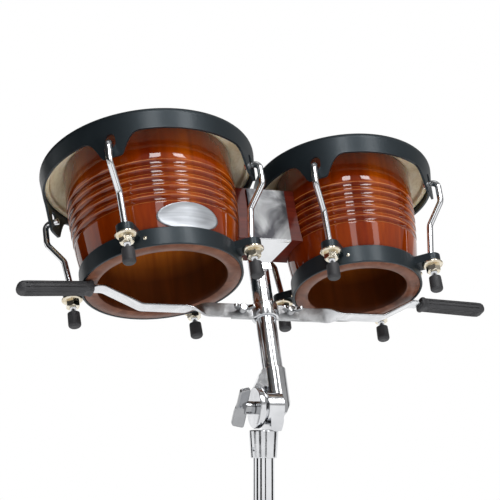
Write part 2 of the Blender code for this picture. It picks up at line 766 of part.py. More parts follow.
def bracket_post():
    """Post, bracket plate and stud, welded into one."""
    inner = POST_RADIUS - TUBE_WALL
    bottom = UPPER_SOCKET_BOTTOM + SOCKET_FLOOR + FIT
    top = drum_level(POST_TOP)
    post = turned([(POST_RADIUS, bottom), (POST_RADIUS, top), (inner, top), (inner, bottom)], TUBE_SIDES)
    back = plate_face()
    middle = back - PLATE_THICKNESS / 2
    weld = -POST_RADIUS + TUBE_WALL / 2
    side = bent_path(
        [
            (middle, drum_level(PLATE_TOP)), (middle, drum_level(PLATE_BOTTOM - 0.002)),
            (weld, drum_level(TONGUE_REACH)), (weld, drum_level(TONGUE_END)),
        ],
        [PLATE_BEND, PLATE_BEND],
    )
    rings = []
    for i, (y, z) in enumerate(side):
        before = Vector(side[max(i - 1, 0)])
        after = Vector(side[min(i + 1, len(side) - 1)])
        run = (after - before).normalized()
        out = Vector((run.y, -run.x)) * PLATE_THICKNESS / 2
        share = (z - drum_level(TONGUE_REACH)) / (PLATE_BOTTOM - 0.002 - TONGUE_REACH)
        share = min(max(share, 0.0), 1.0)
        centre = BRACKET_CENTRE * share
        half = POST_RADIUS * 0.9 + (PLATE_WIDTH / 2 - POST_RADIUS * 0.9) * share
        rings.append(
            [
                (centre - half, y - out.x, z - out.y), (centre + half, y - out.x, z - out.y),
                (centre + half, y + out.x, z + out.y), (centre - half, y + out.x, z + out.y),
            ]
        )
    plate = lofted(rings)
    stud = along(rod(STUD_RADIUS, middle, STUD_END - DRUMS_FORWARD), (0, 1, 0))
    stud = shifted(stud, x=BRACKET_CENTRE, z=drum_level(STUD_HEIGHT))
    return joined(post, plate, stud)


def bracket_wing_nut():
    """Wing nut with a washer face, along Z."""
    head = wing_head(BRACKET_WING_SPAN, BRACKET_WING_DEPTH, BRACKET_WING_BARREL, BRACKET_WING_THICKNESS)
    washer = rod(WASHER_RADIUS, 0, WASHER_THICKNESS, TUBE_SIDES)
    return cut(joined(washer, head), bore(STUD_RADIUS + FIT, -OVERRUN, BRACKET_WING_DEPTH + OVERRUN))


# Padded arms, in a frame on the post's axis at the clamp's height


def arm_height(reach):
    """Height of the arm's middle line past its rise, above the clamp's middle."""
    return ARM_DROP + ARM_RISE_HEIGHT - (reach - ARM_RISE_END) * tan(ARM_DROOP)


def arm_wrap():
    """Middle line of the strap from its ear, round the front of the post, in plan."""
    wrap = POST_RADIUS + SLIDE + ARM_THICKNESS / 2
    fillet_y = -STRAP_OFFSET - ARM_FILLET
    fillet_x = sqrt((wrap + ARM_FILLET) ** 2 - fillet_y**2)
    lean = atan2(-fillet_y, fillet_x)
    right = arc((fillet_x, fillet_y), ARM_FILLET, pi / 2, pi - lean, 3)
    front = arc((0, 0), wrap, -lean, lean - pi, 10)[1:-1]
    left = [(-x, y) for x, y in reversed(right)]
    return [(ARM_EAR, -STRAP_OFFSET)] + right + front + left + [(-ARM_TWIST_START, -STRAP_OFFSET)]


def arm_ring(centre, across, flat, width):
    """Corners of the strap's section; across is its width's direction and flat its thickness's."""
    wide = across * width / 2
    thick = flat * ARM_THICKNESS / 2
    return [centre - wide - thick, centre + wide - thick, centre + wide + thick, centre - wide + thick]


def arm():
    """One strap: ear, half loop round the post, upright run, quarter twist, rise and tongue, to -X."""
    up = Vector((0, 0, 1))
    rings = []
    plan = [Vector((x, y, 0)) for x, y in arm_wrap()]
    for i, point in enumerate(plan):
        run = (plan[min(i + 1, len(plan) - 1)] - plan[max(i - 1, 0)]).normalized()
        rings.append(arm_ring(point, up, run.cross(up), ARM_WIDTH))
    twist_steps = 5
    for i in range(1, twist_steps + 1):
        share = i / twist_steps
        turn = pi / 2 * share
        x = -ARM_TWIST_START - (ARM_TWIST_END - ARM_TWIST_START) * share
        across = Vector((0, sin(turn), cos(turn)))
        flat = Vector((0, cos(turn), -sin(turn)))
        rings.append(arm_ring(Vector((x, -STRAP_OFFSET, 0)), across, flat, ARM_WIDTH))
    tongue_end = GRIP_START + ARM_TONGUE_LENGTH
    side = bent_path(
        [
            (ARM_TWIST_END, 0), (ARM_RISE_START, 0),
            (ARM_RISE_END, arm_height(ARM_RISE_END)), (tongue_end, arm_height(tongue_end)),
        ],
        [ARM_BEND, ARM_BEND],
        3,
    )
    side = side[1:-1] + [(GRIP_START - 0.003, arm_height(GRIP_START - 0.003))]
    side += [(GRIP_START, arm_height(GRIP_START)), (tongue_end, arm_height(tongue_end))]
    across = Vector((0, 1, 0))
    for i, (reach, height) in enumerate(side):
        before = side[max(i - 1, 0)]
        after = side[min(i + 1, len(side) - 1)]
        run = Vector((before[0] - after[0], 0, after[1] - before[1])).normalized()
        width = ARM_TONGUE_WIDTH if reach >= GRIP_START else ARM_WIDTH
        rings.append(arm_ring(Vector((-reach, -STRAP_OFFSET, height)), across, run.cross(across), width))
    strap = lofted(rings)
    holes = []
    for x in (-ARM_SCREW_REACH, ARM_SCREW_REACH):
        holes.append(shifted(along(bore(ARM_SCREW_RADIUS + FIT, -OVERRUN, OVERRUN), (0, 1, 0)), x=x))
    return cut(strap, *holes)


def arm_grip():
    """Rubber sleeve on the arm's tongue, closed and rounded at its outer end."""
    sizes = [(0.0, 0.0012), (0.0015, 0.0), (GRIP_LENGTH - 0.004, 0.0), (GRIP_LENGTH - 0.001, 0.0015)]
    sizes.append((GRIP_LENGTH, 0.0040))
    rings = []
    for run, inset in sizes:
        outline = rounded_rectangle(GRIP_WIDTH - 2 * inset, GRIP_THICKNESS - 2 * inset, GRIP_CORNER - inset / 2)
        rings.append([(-run, y, z) for y, z in outline])
    half = ARM_TONGUE_WIDTH / 2 + FIT
    thick = ARM_THICKNESS / 2 + FIT
    pocket = box(-ARM_TONGUE_LENGTH - 2 * FIT, OVERRUN, -half, half, -thick, thick)
    sleeve = cut(lofted(rings), pocket)
    place = Matrix.Translation((-GRIP_START - FIT, -STRAP_OFFSET, arm_height(GRIP_START + FIT)))
    return moved(sleeve, place @ Matrix.Rotation(-ARM_DROOP, 4, "Y"))


def arm_wing_screw():
    """Along Z, seated on the front strap at 0, its thread through both straps."""
    head = wing_head(ARM_WING_SPAN, ARM_WING_DEPTH, ARM_WING_BARREL, ARM_WING_THICKNESS)
    return joined(head, rod(ARM_SCREW_RADIUS, -2 * ARM_THICKNESS - ARM_SCREW_END, ARM_WING_DEPTH / 3))


# Drums, each in its own frame: origin at the middle of its lower edge, Z along its axis


class Drum:
    """The sizes in which the two drums differ."""

    def __init__(self, name, side, bottom_radius, top_radius, lug_angle):
        self.name = name
        self.side = side
        self.bottom = bottom_radius
        self.top = top_radius
        self.rim = top_radius + HEAD_OVERHANG
        self.lug_radius = bottom_radius + LUG_OUT
        self.lug_angles = [lug_angle + 2 * pi * i / LUGS for i in range(LUGS)]


def outer_radius(drum, height):
    """Shell's outer radius at a height: straight behind the ring, then a smooth flare."""
    share = (height - RING_HEIGHT) / (FLARE_TOP - RING_HEIGHT)
    share = min(max(share, 0.0), 1.0)
    return drum.bottom + (drum.top - drum.bottom) * sin(share * pi / 2)


def smooth_outline(drum, extra=0.0):
    """Outer points of the shell without its grooves."""
    heights = [RING_HEIGHT, RING_HEIGHT * 1.8, (RING_HEIGHT + FLARE_TOP) / 2, FLARE_TOP * 0.8, FLARE_TOP]
    return [(outer_radius(drum, z) + extra, z) for z in heights]


def shell(drum):
    """Turned shell with its lower edge bare and a band of shallow coves round its flare."""
    waist = (RING_HEIGHT + COVE_START - COVE_HALF_WIDTH) / 2
    outline = [(drum.bottom, 0), (drum.bottom, RING_HEIGHT), (outer_radius(drum, waist), waist)]
    for i in range(COVE_COUNT):
        middle = COVE_START + i * COVE_PITCH
        for share, depth in ((-1, 0.0), (-0.4, COVE_DEPTH), (0.4, COVE_DEPTH), (1, 0.0)):
            height = middle + share * COVE_HALF_WIDTH
            outline.append((outer_radius(drum, height) - depth, height))
    outline += [
        (drum.top, SHELL_HEIGHT - 0.003), (drum.top - 0.002, SHELL_HEIGHT),
        (drum.top - EDGE_WIDTH, SHELL_HEIGHT), (drum.top - SHELL_WALL + 0.001, SHELL_HEIGHT - 0.010),
        (drum.top - SHELL_WALL, FLARE_TOP), (drum.bottom - SHELL_WALL, 0),
    ]
    return turned(outline, SHELL_SIDES)


def head(drum):
    """Skin over the bearing edge and down to its flesh hoop."""
    top = HEAD_HEIGHT
    under = HEAD_HEIGHT - SKIN_THICKNESS
    hoop_top = under - HOOP_DROP + HOOP_HEIGHT
    hoop_low = hoop_top - HOOP_HEIGHT
    outer = rim_inner_radius(drum, hoop_low) - SLIDE
    inner = outer - HOOP_WIDTH
    return turned(
        [
            (0, top), (drum.top + FIT, top), (drum.top + 0.002, top - 0.001), (inner + 0.001, hoop_top + 0.0015),
            (outer, hoop_top - 0.001), (outer, hoop_low), (inner, hoop_low), (inner - 0.001, hoop_top),
            (drum.top + FIT + 0.0006, under - 0.0012), (drum.top - 0.001, under), (0, under),
        ],
        SHELL_SIDES,
    )


def rim_inner_radius(drum, height):
    """Inner face of the rim's conical band."""
    share = (height - RIM_BOTTOM) / (RIM_WIDEST - RIM_BOTTOM)
    return drum.rim - RIM_FLARE * (1 - share) - RIM_THICKNESS


def rim(drum):
    """Rounded band with four ears that hang down for the rods' hooks."""
    foot_radius = drum.rim - RIM_FLARE
    band = turned(
        [
            (foot_radius, RIM_BOTTOM), (drum.rim - 0.0005, RIM_WIDEST - 0.002), (drum.rim, RIM_WIDEST),
            (drum.rim - 0.0005, RIM_TOP - 0.003), (drum.rim - 0.003, RIM_TOP - 0.0003),
            (drum.rim - 0.007, RIM_TOP), (drum.rim - 0.0095, RIM_TOP - 0.0025),
            (drum.rim - 0.0070, RIM_TOP - RIM_THICKNESS), (drum.rim - 0.0040, RIM_TOP - RIM_THICKNESS - 0.0002),
            (drum.rim - RIM_THICKNESS, RIM_WIDEST), (foot_radius - RIM_THICKNESS, RIM_BOTTOM + 0.0003),
        ],
        SHELL_SIDES,
    )
    for angle in drum.lug_angles:
        band = joined(band, moved(rim_ear(foot_radius), Matrix.Rotation(angle, 4, "Z")))
    for angle in drum.lug_angles:
        hole = extruded(ear_hole(), "X", foot_radius - OVERRUN, foot_radius + OVERRUN)
        band = cut(band, moved(hole, Matrix.Rotation(angle, 4, "Z")))
    return band


def ear_hole():
    """Upright slot that the hook of a rod pulls down on."""
    half = EAR_HOLE_WIDTH / 2
    return stadium(EAR_HOLE_WIDTH, EAR_HOLE_TOP - half, HOOK_HEIGHT - ROD_RADIUS - SLIDE + half)


def rim_ear(radius):
    """Curved shield-shaped plate at +X that overlaps the lower edge of the band."""
    rows = [
        (RIM_BOTTOM + 0.0022, EAR_TOP_HALF, 0.0003), (RIM_BOTTOM - 0.0005, EAR_TOP_HALF, 0.0),
        (RIM_BOTTOM - 0.003, EAR_TOP_HALF * 0.80, 0.0), (RIM_BOTTOM - 0.007, EAR_TOP_HALF * 0.62, 0.0),
        (RIM_BOTTOM - 0.013, EAR_WAIST_HALF * 1.08, 0.0), (EAR_TIP + 0.006, EAR_WAIST_HALF * 0.93, 0.0),
        (EAR_TIP + 0.002, EAR_TIP_HALF, 0.0), (EAR_TIP, EAR_TIP_HALF * 0.8, 0.0),
    ]
    outer = radius + 0.0002
    inner = outer - RIM_THICKNESS
    columns = 5
    rings = []
    for height, half, lean in rows:
        ring = []
        for face, order in ((outer, 1), (inner, -1)):
            for i in range(columns)[::order]:
                angle = half / radius * (2 * i / (columns - 1) - 1)
                ring.append(((face + lean) * cos(angle), (face + lean) * sin(angle), height))
        rings.append(ring)
    return lofted(rings)


def ring_lug(inner, centre):
    """Block on the lower ring that a rod passes through, in plan towards +X."""
    outline = [(inner, -RING_LUG_HALF), (centre, -RING_LUG_HALF)]
    outline += arc((centre, 0), RING_LUG_HALF, -pi / 2, pi / 2)[1:-1]
    outline += [(centre, RING_LUG_HALF), (inner, RING_LUG_HALF)]
    return extruded(outline, "Z", RING_LUG_BOTTOM, RING_HEIGHT)


def bottom_ring(drum):
    inner = (drum.bottom + FIT) / cos(pi / SHELL_SIDES)
    outer = inner + RING_THICKNESS
    band = turned(
        [(inner, 0), (outer - 0.0008, 0), (outer, 0.0008), (outer, RING_HEIGHT), (inner, RING_HEIGHT)],
        SHELL_SIDES,
    )
    for angle in drum.lug_angles:
        turn = Matrix.Rotation(angle, 4, "Z")
        hole = shifted(bore(ROD_RADIUS + SLIDE, 0, RING_HEIGHT + OVERRUN), x=drum.lug_radius)
        lug = cut(ring_lug(drum.bottom + RING_THICKNESS * 0.6, drum.lug_radius), hole)
        band = joined(band, moved(lug, turn))
    return band


def rod_route(drum):
    """Middle line of a tuning rod, as (radius, height), from its hook to its threaded end."""
    bow = drum.rim + ROD_BOW
    return bent_path(
        [
            (drum.rim - HOOK_INSIDE, HOOK_HEIGHT), (bow, HOOK_HEIGHT), (bow, ROD_BOW_BOTTOM),
            (drum.lug_radius + ROD_KNEE_OUT, ROD_KNEE_HEIGHT), (drum.lug_radius, RING_HEIGHT + ROD_RADIUS),
            (drum.lug_radius, -ROD_END),
        ],
        [HOOK_BEND, ROD_BEND, ROD_BEND, ROD_BEND],
        3,
    )


def add_rod(name, drum, angle, material, parent):
    """A tuning rod as a round curve."""
    curve = bpy.data.curves.new(name, "CURVE")
    curve.dimensions = "3D"
    curve.bevel_depth = ROD_RADIUS
    curve.bevel_resolution = 2
    curve.use_fill_caps = True
    route = rod_route(drum)
    spline = curve.splines.new("POLY")
    spline.points.add(len(route) - 1)
    for point, (radius, height) in zip(spline.points, route):
        point.co = (radius, 0, height, 1)
    curve.materials.append(material)
    piece = bpy.data.objects.new(name, curve)
    bpy.context.collection.objects.link(piece)
    piece.parent = parent
    piece.rotation_euler = (0, 0, angle)
    return piece


def tuning_nut():
    """Flanged hexagon nut along Z, its flange's face at 0 and the rest below."""
    sides = 12
    flange = [(NUT_FLANGE_RADIUS, 0.0), (NUT_FLANGE_RADIUS, -NUT_FLANGE_HEIGHT)]
    rings = []
    for radius, height in flange:
        rings.append([(*point, height) for point in arc((0, 0), radius, 0, 2 * pi * (1 - 1 / sides), sides - 1)])
    for share, height in ((1.0, -NUT_FLANGE_HEIGHT - 0.0008), (1.0, 0.0008 - NUT_HEIGHT), (0.9, -NUT_HEIGHT)):
        ring = []
        for i in range(sides):
            flat = 1.0 if i % 2 == 0 else cos(pi / 6)
            angle = 2 * pi * i / sides
            reach = NUT_HEX_RADIUS * share * flat
            ring.append((reach * cos(angle), reach * sin(angle), height))
        rings.append(ring)
    return cut(lofted(rings), bore(ROD_RADIUS + FIT, -NUT_HEIGHT - OVERRUN, OVERRUN))


def rod_cap():
    """Rubber tip over the end of a rod, its mouth at 0 and its closed end below."""
    hole = (ROD_RADIUS + FIT) / cos(pi / SMALL_SIDES)
    depth = ROD_END - CAP_TOP + FIT
    return turned(
        [
            (0, -depth), (hole, -depth), (hole, 0), (CAP_RADIUS, 0), (CAP_RADIUS, -CAP_LENGTH + 0.002),
            (CAP_RADIUS - 0.002, -CAP_LENGTH), (0, -CAP_LENGTH),
        ],
        SMALL_SIDES,
    )


def center_block(drums):
    """Wooden block between the shells, hollowed to fit both, in the drums' frame."""
    reach = DRUM_SPACING / 2 - SMALL_TOP_RADIUS + 2 * OVERRUN
    block = box(-reach, reach, -BLOCK_HALF_DEPTH, BLOCK_HALF_DEPTH, PLATE_BOTTOM, BLOCK_TOP)
    for drum in drums:
        outline = [(0, 0), (drum.bottom + FIT, 0)] + smooth_outline(drum, 2 * FIT)
        outline += [(drum.top + 2 * FIT, BLOCK_TOP + OVERRUN), (0, BLOCK_TOP + OVERRUN)]
        clearing = moved(turned(outline, SHELL_SIDES), drum_matrix(drum))
        block = cut(block, clearing)
    hole = along(bore(STUD_RADIUS + FIT, -BLOCK_HALF_DEPTH - OVERRUN, BLOCK_HALF_DEPTH + OVERRUN), (0, 1, 0))
    return cut(block, shifted(hole, x=BRACKET_CENTRE, z=STUD_HEIGHT))


def drum_matrix(drum):
    """Place of a drum in the drums' frame: to its side and splayed outwards at the top."""
    place = Matrix.Translation((drum.side * DRUM_SPACING / 2, 0, 0))
    return place @ Matrix.Rotation(drum.side * SPLAY, 4, "Y")


# Assembly


def add_column(origin, materials):
    add_piece("main_tube", main_tube(), materials["chrome"], origin)
    add_piece("height_clamp", height_clamp(), materials["cast_chrome"], origin)
    seat = CLAMP_BOSS_REACH + FIT
    add_piece(
        "height_wing_bolt", height_wing_bolt(), materials["cast_chrome"], origin,
        (-seat, 0, CLAMP_BOLT_HEIGHT), (0, -pi / 2, 0),
    )


def add_tripod(origin, materials):
    chrome = materials["chrome"]
    add_piece("leg_collar", leg_collar(), materials["cast_chrome"], origin, (0, 0, LEG_PIVOT_HEIGHT))
    add_piece("spider", spider(), materials["cast_chrome"], origin, (0, 0, SPIDER_REST))
    leg_mesh = leg()
    foot_mesh = foot()
    brace_mesh = brace()
    for i, azimuth in enumerate(leg_azimuths(), start=1):
        place = (LEG_PIVOT_RADIUS * cos(azimuth), LEG_PIVOT_RADIUS * sin(azimuth), LEG_PIVOT_HEIGHT)
        pivot = add_empty(f"leg_pivot_{i}", origin, place, (0, -LEG_SPREAD, azimuth))
        add_piece(f"leg_{i}", leg_mesh, chrome, pivot)
        add_piece(f"foot_{i}", foot_mesh, materials["rubber"], pivot)
        joint = add_empty(f"brace_pivot_{i}", pivot, (0, 0, -BRACE_LENGTH), (0, 2 * LEG_SPREAD, 0))
        add_piece(f"brace_{i}", brace_mesh, chrome, joint)


def add_tilter(carriage, tilt, materials):
    cast = materials["cast_chrome"]
    add_piece("extension_tube", extension_tube(), materials["chrome"], carriage)
    add_piece("lower_tilter", lower_tilter(), cast, carriage)
    add_piece("tilter_bolt", tilter_bolt(), materials["zinc"], carriage)
    seat = HUB_FACE - FORK_WIDTH - FIT
    add_piece(
        "tilter_wing_nut", tilter_wing_nut(), cast, carriage, (seat, 0, 0), (0, -pi / 2, 0),
    )
    add_piece("upper_tilter", upper_tilter(), cast, tilt)


def add_bracket(tilt, materials):
    add_piece("bracket_post", bracket_post(), materials["chrome"], tilt)
    seat = BLOCK_HALF_DEPTH + FIT - DRUMS_FORWARD
    add_piece(
        "bracket_wing_nut", bracket_wing_nut(), materials["zinc"], tilt,
        (BRACKET_CENTRE, seat, drum_level(STUD_HEIGHT)), (-pi / 2, 0, 0),
    )


def add_arms(tilt, materials):
    clamp = add_empty("arm_clamp", tilt, (0, 0, drum_level(-ARM_DROP)))
    arm_mesh = arm()
    grip_mesh = arm_grip()
    screw_mesh = arm_wing_screw()
    seat = -STRAP_OFFSET - ARM_THICKNESS / 2 - FIT
    for name, turn, side in (("left", 0, -1), ("right", pi, 1)):
        add_piece(f"arm_{name}", arm_mesh, materials["chrome"], clamp, (0, 0, 0), (0, 0, turn))
        add_piece(f"arm_grip_{name}", grip_mesh, materials["rubber"], clamp, (0, 0, 0), (0, 0, turn))
        add_piece(
            f"arm_wing_screw_{name}", screw_mesh, materials["zinc"], clamp,
            (side * ARM_SCREW_REACH, seat, 0), (pi / 2, 0, 0),
        )


def add_drum(drum, pair, materials, nut_mesh, cap_mesh):
    frame = add_empty(f"{drum.name}_drum", pair)
    frame.matrix_local = drum_matrix(drum)
    black = materials["black_steel"]
    add_piece(f"{drum.name}_shell", shell(drum), materials["lacquered_wood"], frame)
    add_piece(f"{drum.name}_head", head(drum), materials["skin"], frame)
    add_piece(f"{drum.name}_rim", rim(drum), black, frame)
    add_piece(f"{drum.name}_ring", bottom_ring(drum), black, frame)
    for i, angle in enumerate(drum.lug_angles, start=1):
        add_rod(f"{drum.name}_rod_{i}", drum, angle, materials["chrome"], frame)
        x = drum.lug_radius * cos(angle)
        y = drum.lug_radius * sin(angle)
        turn = (0, 0, angle)
        add_piece(
            f"{drum.name}_nut_{i}", nut_mesh, materials["zinc"], frame, (x, y, RING_LUG_BOTTOM - FIT), turn
        )
        add_piece(f"{drum.name}_cap_{i}", cap_mesh, materials["rubber"], frame, (x, y, -CAP_TOP), turn)


def add_drums(tilt, materials):
    pair = add_empty("drum_pair", tilt, (0, -DRUMS_FORWARD, DRUMS_ABOVE_HINGE))
    drums = [
        Drum("large", -1, LARGE_BOTTOM_RADIUS, LARGE_TOP_RADIUS, LARGE_LUG_ANGLE),
        Drum("small", 1, SMALL_BOTTOM_RADIUS, SMALL_TOP_RADIUS, SMALL_LUG_ANGLE),
    ]
    add_piece("center_block", center_block(drums), materials["block_wood"], pair)
    nut_mesh = tuning_nut()
    cap_mesh = rod_cap()
    for drum in drums:
        add_drum(drum, pair, materials, nut_mesh, cap_mesh)


def centre_on_floor(origin):
    """Moves the part so that its bounding box stands centred over the origin."""
    bpy.context.view_layer.update()
    depsgraph = bpy.context.evaluated_depsgraph_get()
    points = []
    for obj in bpy.data.objects:
        if obj.type == "EMPTY":
            continue
        evaluated = obj.evaluated_get(depsgraph)
        mesh = evaluated.to_mesh()
        points += [obj.matrix_world @ vertex.co for vertex in mesh.vertices]
        evaluated.to_mesh_clear()
    xs = [point.x for point in points]
    ys = [point.y for point in points]
    origin.location = (-(min(xs) + max(xs)) / 2, -(min(ys) + max(ys)) / 2, 0)
    bpy.context.view_layer.update()


def build():
    clear_scene()
    materials = make_materials()
    origin = add_empty("stand")
    carriage = add_empty("height_carriage", origin, (0, 0, HINGE_HEIGHT))
    tilt = add_empty("tilt_pivot", carriage, (POST_OFFSET, 0, 0), (-LEAN, 0, 0))
    add_column(origin, materials)
    add_tripod(origin, materials)
    add_tilter(carriage, tilt, materials)
    add_bracket(tilt, materials)
    add_arms(tilt, materials)
    add_drums(tilt, materials)
    centre_on_floor(origin)


build()
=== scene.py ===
"""Looks of the bongo stand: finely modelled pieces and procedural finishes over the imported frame."""

import json
from math import atan2, cos, pi, radians, sin, sqrt, tan

import bmesh
import bpy
from mathutils import Matrix, Vector


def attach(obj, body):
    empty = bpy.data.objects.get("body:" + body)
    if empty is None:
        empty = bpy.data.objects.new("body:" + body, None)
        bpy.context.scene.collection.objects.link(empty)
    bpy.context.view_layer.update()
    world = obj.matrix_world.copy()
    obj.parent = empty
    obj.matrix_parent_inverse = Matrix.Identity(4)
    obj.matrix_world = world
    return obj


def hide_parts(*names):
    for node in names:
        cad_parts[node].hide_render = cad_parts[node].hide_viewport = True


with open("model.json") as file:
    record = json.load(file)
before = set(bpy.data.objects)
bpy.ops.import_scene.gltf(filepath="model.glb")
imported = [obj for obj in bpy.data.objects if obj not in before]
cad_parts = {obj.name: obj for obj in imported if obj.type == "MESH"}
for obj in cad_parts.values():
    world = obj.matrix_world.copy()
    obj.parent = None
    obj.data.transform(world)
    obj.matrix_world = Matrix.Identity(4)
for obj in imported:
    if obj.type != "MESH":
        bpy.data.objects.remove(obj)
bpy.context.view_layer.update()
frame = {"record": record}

X_AXIS = (1, 0, 0)
Y_AXIS = (0, 1, 0)

# Clearances and fineness
FIT = 0.0003
SLIDE = 0.0004
WELD = 0.000001
OVERRUN = 0.010
LATHE_SIDES = 96
RIM_SIDES = 192
SMALL_SIDES = 40
ROUND_STEPS = 4
CORNER_SHARE = 0.48

# Column
STAND_SHIFT = -0.0802676
MAIN_TUBE_RADIUS = 0.0143
MAIN_TUBE_TOP = 0.700
EXTENSION_RADIUS = 0.0111
TUBE_WALL = 0.0014
EXTENSION_OVERLAP = 0.250
HINGE_HEIGHT = 0.868
TUBE_END_MARGIN = 0.012

# Tripod
LEG_COUNT = 3
FIRST_LEG_AZIMUTH = radians(90)
LEG_PIVOT_HEIGHT = 0.400
LEG_SPREAD = radians(36)
LEG_FOLD = radians(28)
LEG_WIDTH = 0.016
LEG_PLATE = 0.0025
LEG_GAP = 0.008
LEG_STANDOFF = 0.0024
LEG_TONGUE = 0.045
PIN_RADIUS = 0.003
RIVET_RADIUS = 0.0052
RIVET_HEIGHT = 0.0014
BRACE_LENGTH = 0.160
BRACE_WIDTH = 0.014
COLLAR_WALL = 0.005
COLLAR_HEIGHT = 0.030
LUG_HEIGHT = 0.020
LUG_REACH = 0.008
SPIDER_WALL = 0.005
SPIDER_HEIGHT = 0.032
CHEEK = 0.0025
FOOT_SOLE = 0.018
FOOT_GRIP = 0.030
FOOT_WALL = 0.0035
FOOT_CORNER = 0.0045

# Height clamp and its wing bolt
CLAMP_SOCKET = 0.035
CLAMP_NECK = 0.030
CLAMP_WALL = 0.0045
CLAMP_BOSS_RADIUS = 0.0085
CLAMP_BOSS_REACH = 0.028
CLAMP_BOLT_RADIUS = 0.004
CLAMP_WING = (0.036, 0.019, 0.0075, 0.0035)

# Tilter
POST_OFFSET = 0.0162
LEAN = radians(20.67)
HUB_FACE = 0.0002
DISC_RADIUS = 0.0215
DISC_WIDTH = 0.0055
FORK_WIDTH = 0.011
TONGUE_RADIUS = 0.017
TONGUE_WIDTH = 0.0171
HUB_EDGE = 0.0012
CHEEK_LOW = 0.011
CHEEK_SHOULDER = 0.0075
CHEEK_TOE = 0.003
CHEEK_WALL = 0.0034
NECK_START = 0.003
NECK_HALF_WIDTH = 0.014
SOCKET_WALL = 0.0022
SOCKET_FLOOR = 0.003
UPPER_SOCKET_BOTTOM = 0.0212
UPPER_SOCKET_TOP = 0.043
LOWER_SOCKET_TOP = 0.0228
LOWER_SOCKET_BOTTOM = 0.0515
LOWER_SOCKET_FLARE = 0.0018
WEB_HALF_WIDTH = 0.009
HINGE_BOLT_RADIUS = 0.004
BOLT_HEAD_RADIUS = 0.0065
BOLT_HEAD_HEIGHT = 0.0035
HINGE_WING_SPAN = 0.044
HINGE_WING_DEPTH = 0.0195
HINGE_WING_FOOT = 0.0075
HINGE_WING_BARREL = 0.0068
HINGE_WING_THICKNESS = 0.0055
HINGE_WING_CORNER = 0.003
HINGE_WING_TURN = radians(35)
HINGE_WING_CANT = 0.0018
SET_SCREW_RADIUS = 0.0022
SET_SCREW_DEPTH = 0.0012
LOWER_SCREW_SIDE = (-0.93, -0.37, 0)
UPPER_SCREW_SIDE = (-0.97, -0.25, 0)

# Post and drum bracket, in the drums' frame
POST_RADIUS = 0.0111
DRUMS_ABOVE_HINGE = 0.1392
DRUMS_FORWARD = 0.0035
POST_TOP = 0.042
PLATE_WIDTH = 0.044
PLATE_BOTTOM = 0.047
PLATE_TOP = 0.108
PLATE_THICKNESS = 0.0025
PLATE_BEND = 0.004
TONGUE_END = 0.020
TONGUE_REACH = 0.028
STUD_RADIUS = 0.004
STUD_HEIGHT = 0.078
STUD_END = 0.046
BRACKET_WING = (0.034, 0.017, 0.0075, 0.0035)
WASHER_RADIUS = 0.012
WASHER_THICKNESS = 0.002

# Padded arms
ARM_WIDTH = 0.016
ARM_THICKNESS = 0.003
ARM_DROP = 0.028
ARM_EAR = 0.038
ARM_FILLET = 0.003
ARM_TWIST_START = 0.062
ARM_TWIST_END = 0.091
ARM_RISE_START = 0.138
ARM_RISE_END = 0.177
ARM_BEND = 0.012
TWIST_STEPS = 16
ARM_DROOP = radians(2.7)
ARM_TONGUE_WIDTH = 0.012
ARM_TONGUE_LENGTH = 0.072
GRIP_START = 0.188
GRIP_LENGTH = 0.080
GRIP_WIDTH = 0.018
GRIP_THICKNESS = 0.013
GRIP_TOUCH = 0.0004
GROOVE_HALF_WIDTH = 0.0004
GROOVE_DEPTH = 0.0013
SIDE_GROOVE_DEPTH = 0.0014
GROOVE_REACH = 0.003
GROOVE_RUN = (0.008 - GRIP_LENGTH, -0.009)
ARM_SCREW_REACH = 0.0275
ARM_SCREW_RADIUS = 0.003
ARM_WING = (0.024, 0.013, 0.005, 0.0028)

# Drums
DRUM_SPACING = 0.225
SPLAY = radians(1.58)
LARGE_BOTTOM_RADIUS = 0.084
LARGE_TOP_RADIUS = 0.092
LARGE_LUG_ANGLE = radians(-36.4)
SMALL_BOTTOM_RADIUS = 0.0695
SMALL_TOP_RADIUS = 0.0765
SMALL_LUG_ANGLE = radians(-40.7)
SHELL_WALL = 0.0145
SHELL_HEIGHT = 0.141
FLARE_TOP = 0.100
EDGE_WIDTH = 0.006
COVE_COUNT = 5
COVE_START = 0.0528
COVE_PITCH = 0.0103
COVE_HALF_WIDTH = 0.0034
COVE_DEPTH = 0.0013
COVE_STEPS = 10
INSIDE_STEPS = 8
SHELL_SIDES = 160
HEAD_OVERHANG = 0.026
SKIN_THICKNESS = 0.0014
HOOP_WIDTH = 0.0055
HOOP_HEIGHT = 0.006
HOOP_DROP = 0.014
RIM_THICKNESS = 0.0025
RIM_FLARE = 0.002
RIM_BOTTOM = 0.1205
RIM_WIDEST = 0.1395
RIM_TOP = 0.1455
EAR_TIP = 0.0945
GAP_STEPS = 12
# Half of an ear's outline from the band to the tip, as (distance along the rim, height)
EAR_EDGE = [
    (0.0330, RIM_BOTTOM), (0.0300, 0.1201), (0.0262, 0.1187), (0.0228, 0.1160), (0.0202, 0.1125),
    (0.0180, 0.1087), (0.0162, 0.1055), (0.0147, 0.1025), (0.0136, 0.1000), (0.0128, 0.0981),
    (0.0118, 0.0963), (0.0104, 0.0950), (0.0085, EAR_TIP),
]
EAR_HOLE_WIDTH = 0.011
EAR_HOLE_TOP = 0.122
HOOK_HEIGHT = 0.109
HOOK_INSIDE = 0.0095
HOOK_BEND = 0.007
LUGS = 4
LUG_OUT = 0.0186
RING_HEIGHT = 0.020
RING_THICKNESS = 0.0025
RING_LUG_BOTTOM = 0.011
RING_LUG_HALF = 0.0095
ROD_RADIUS = 0.0035
ROD_BOW = 0.007
ROD_BOW_BOTTOM = 0.084
ROD_KNEE_HEIGHT = 0.0575
ROD_KNEE_OUT = 0.0045
ROD_BEND = 0.012
ROD_END = 0.016
NUT_FLANGE_RADIUS = 0.0115
NUT_FLANGE_HEIGHT = 0.003
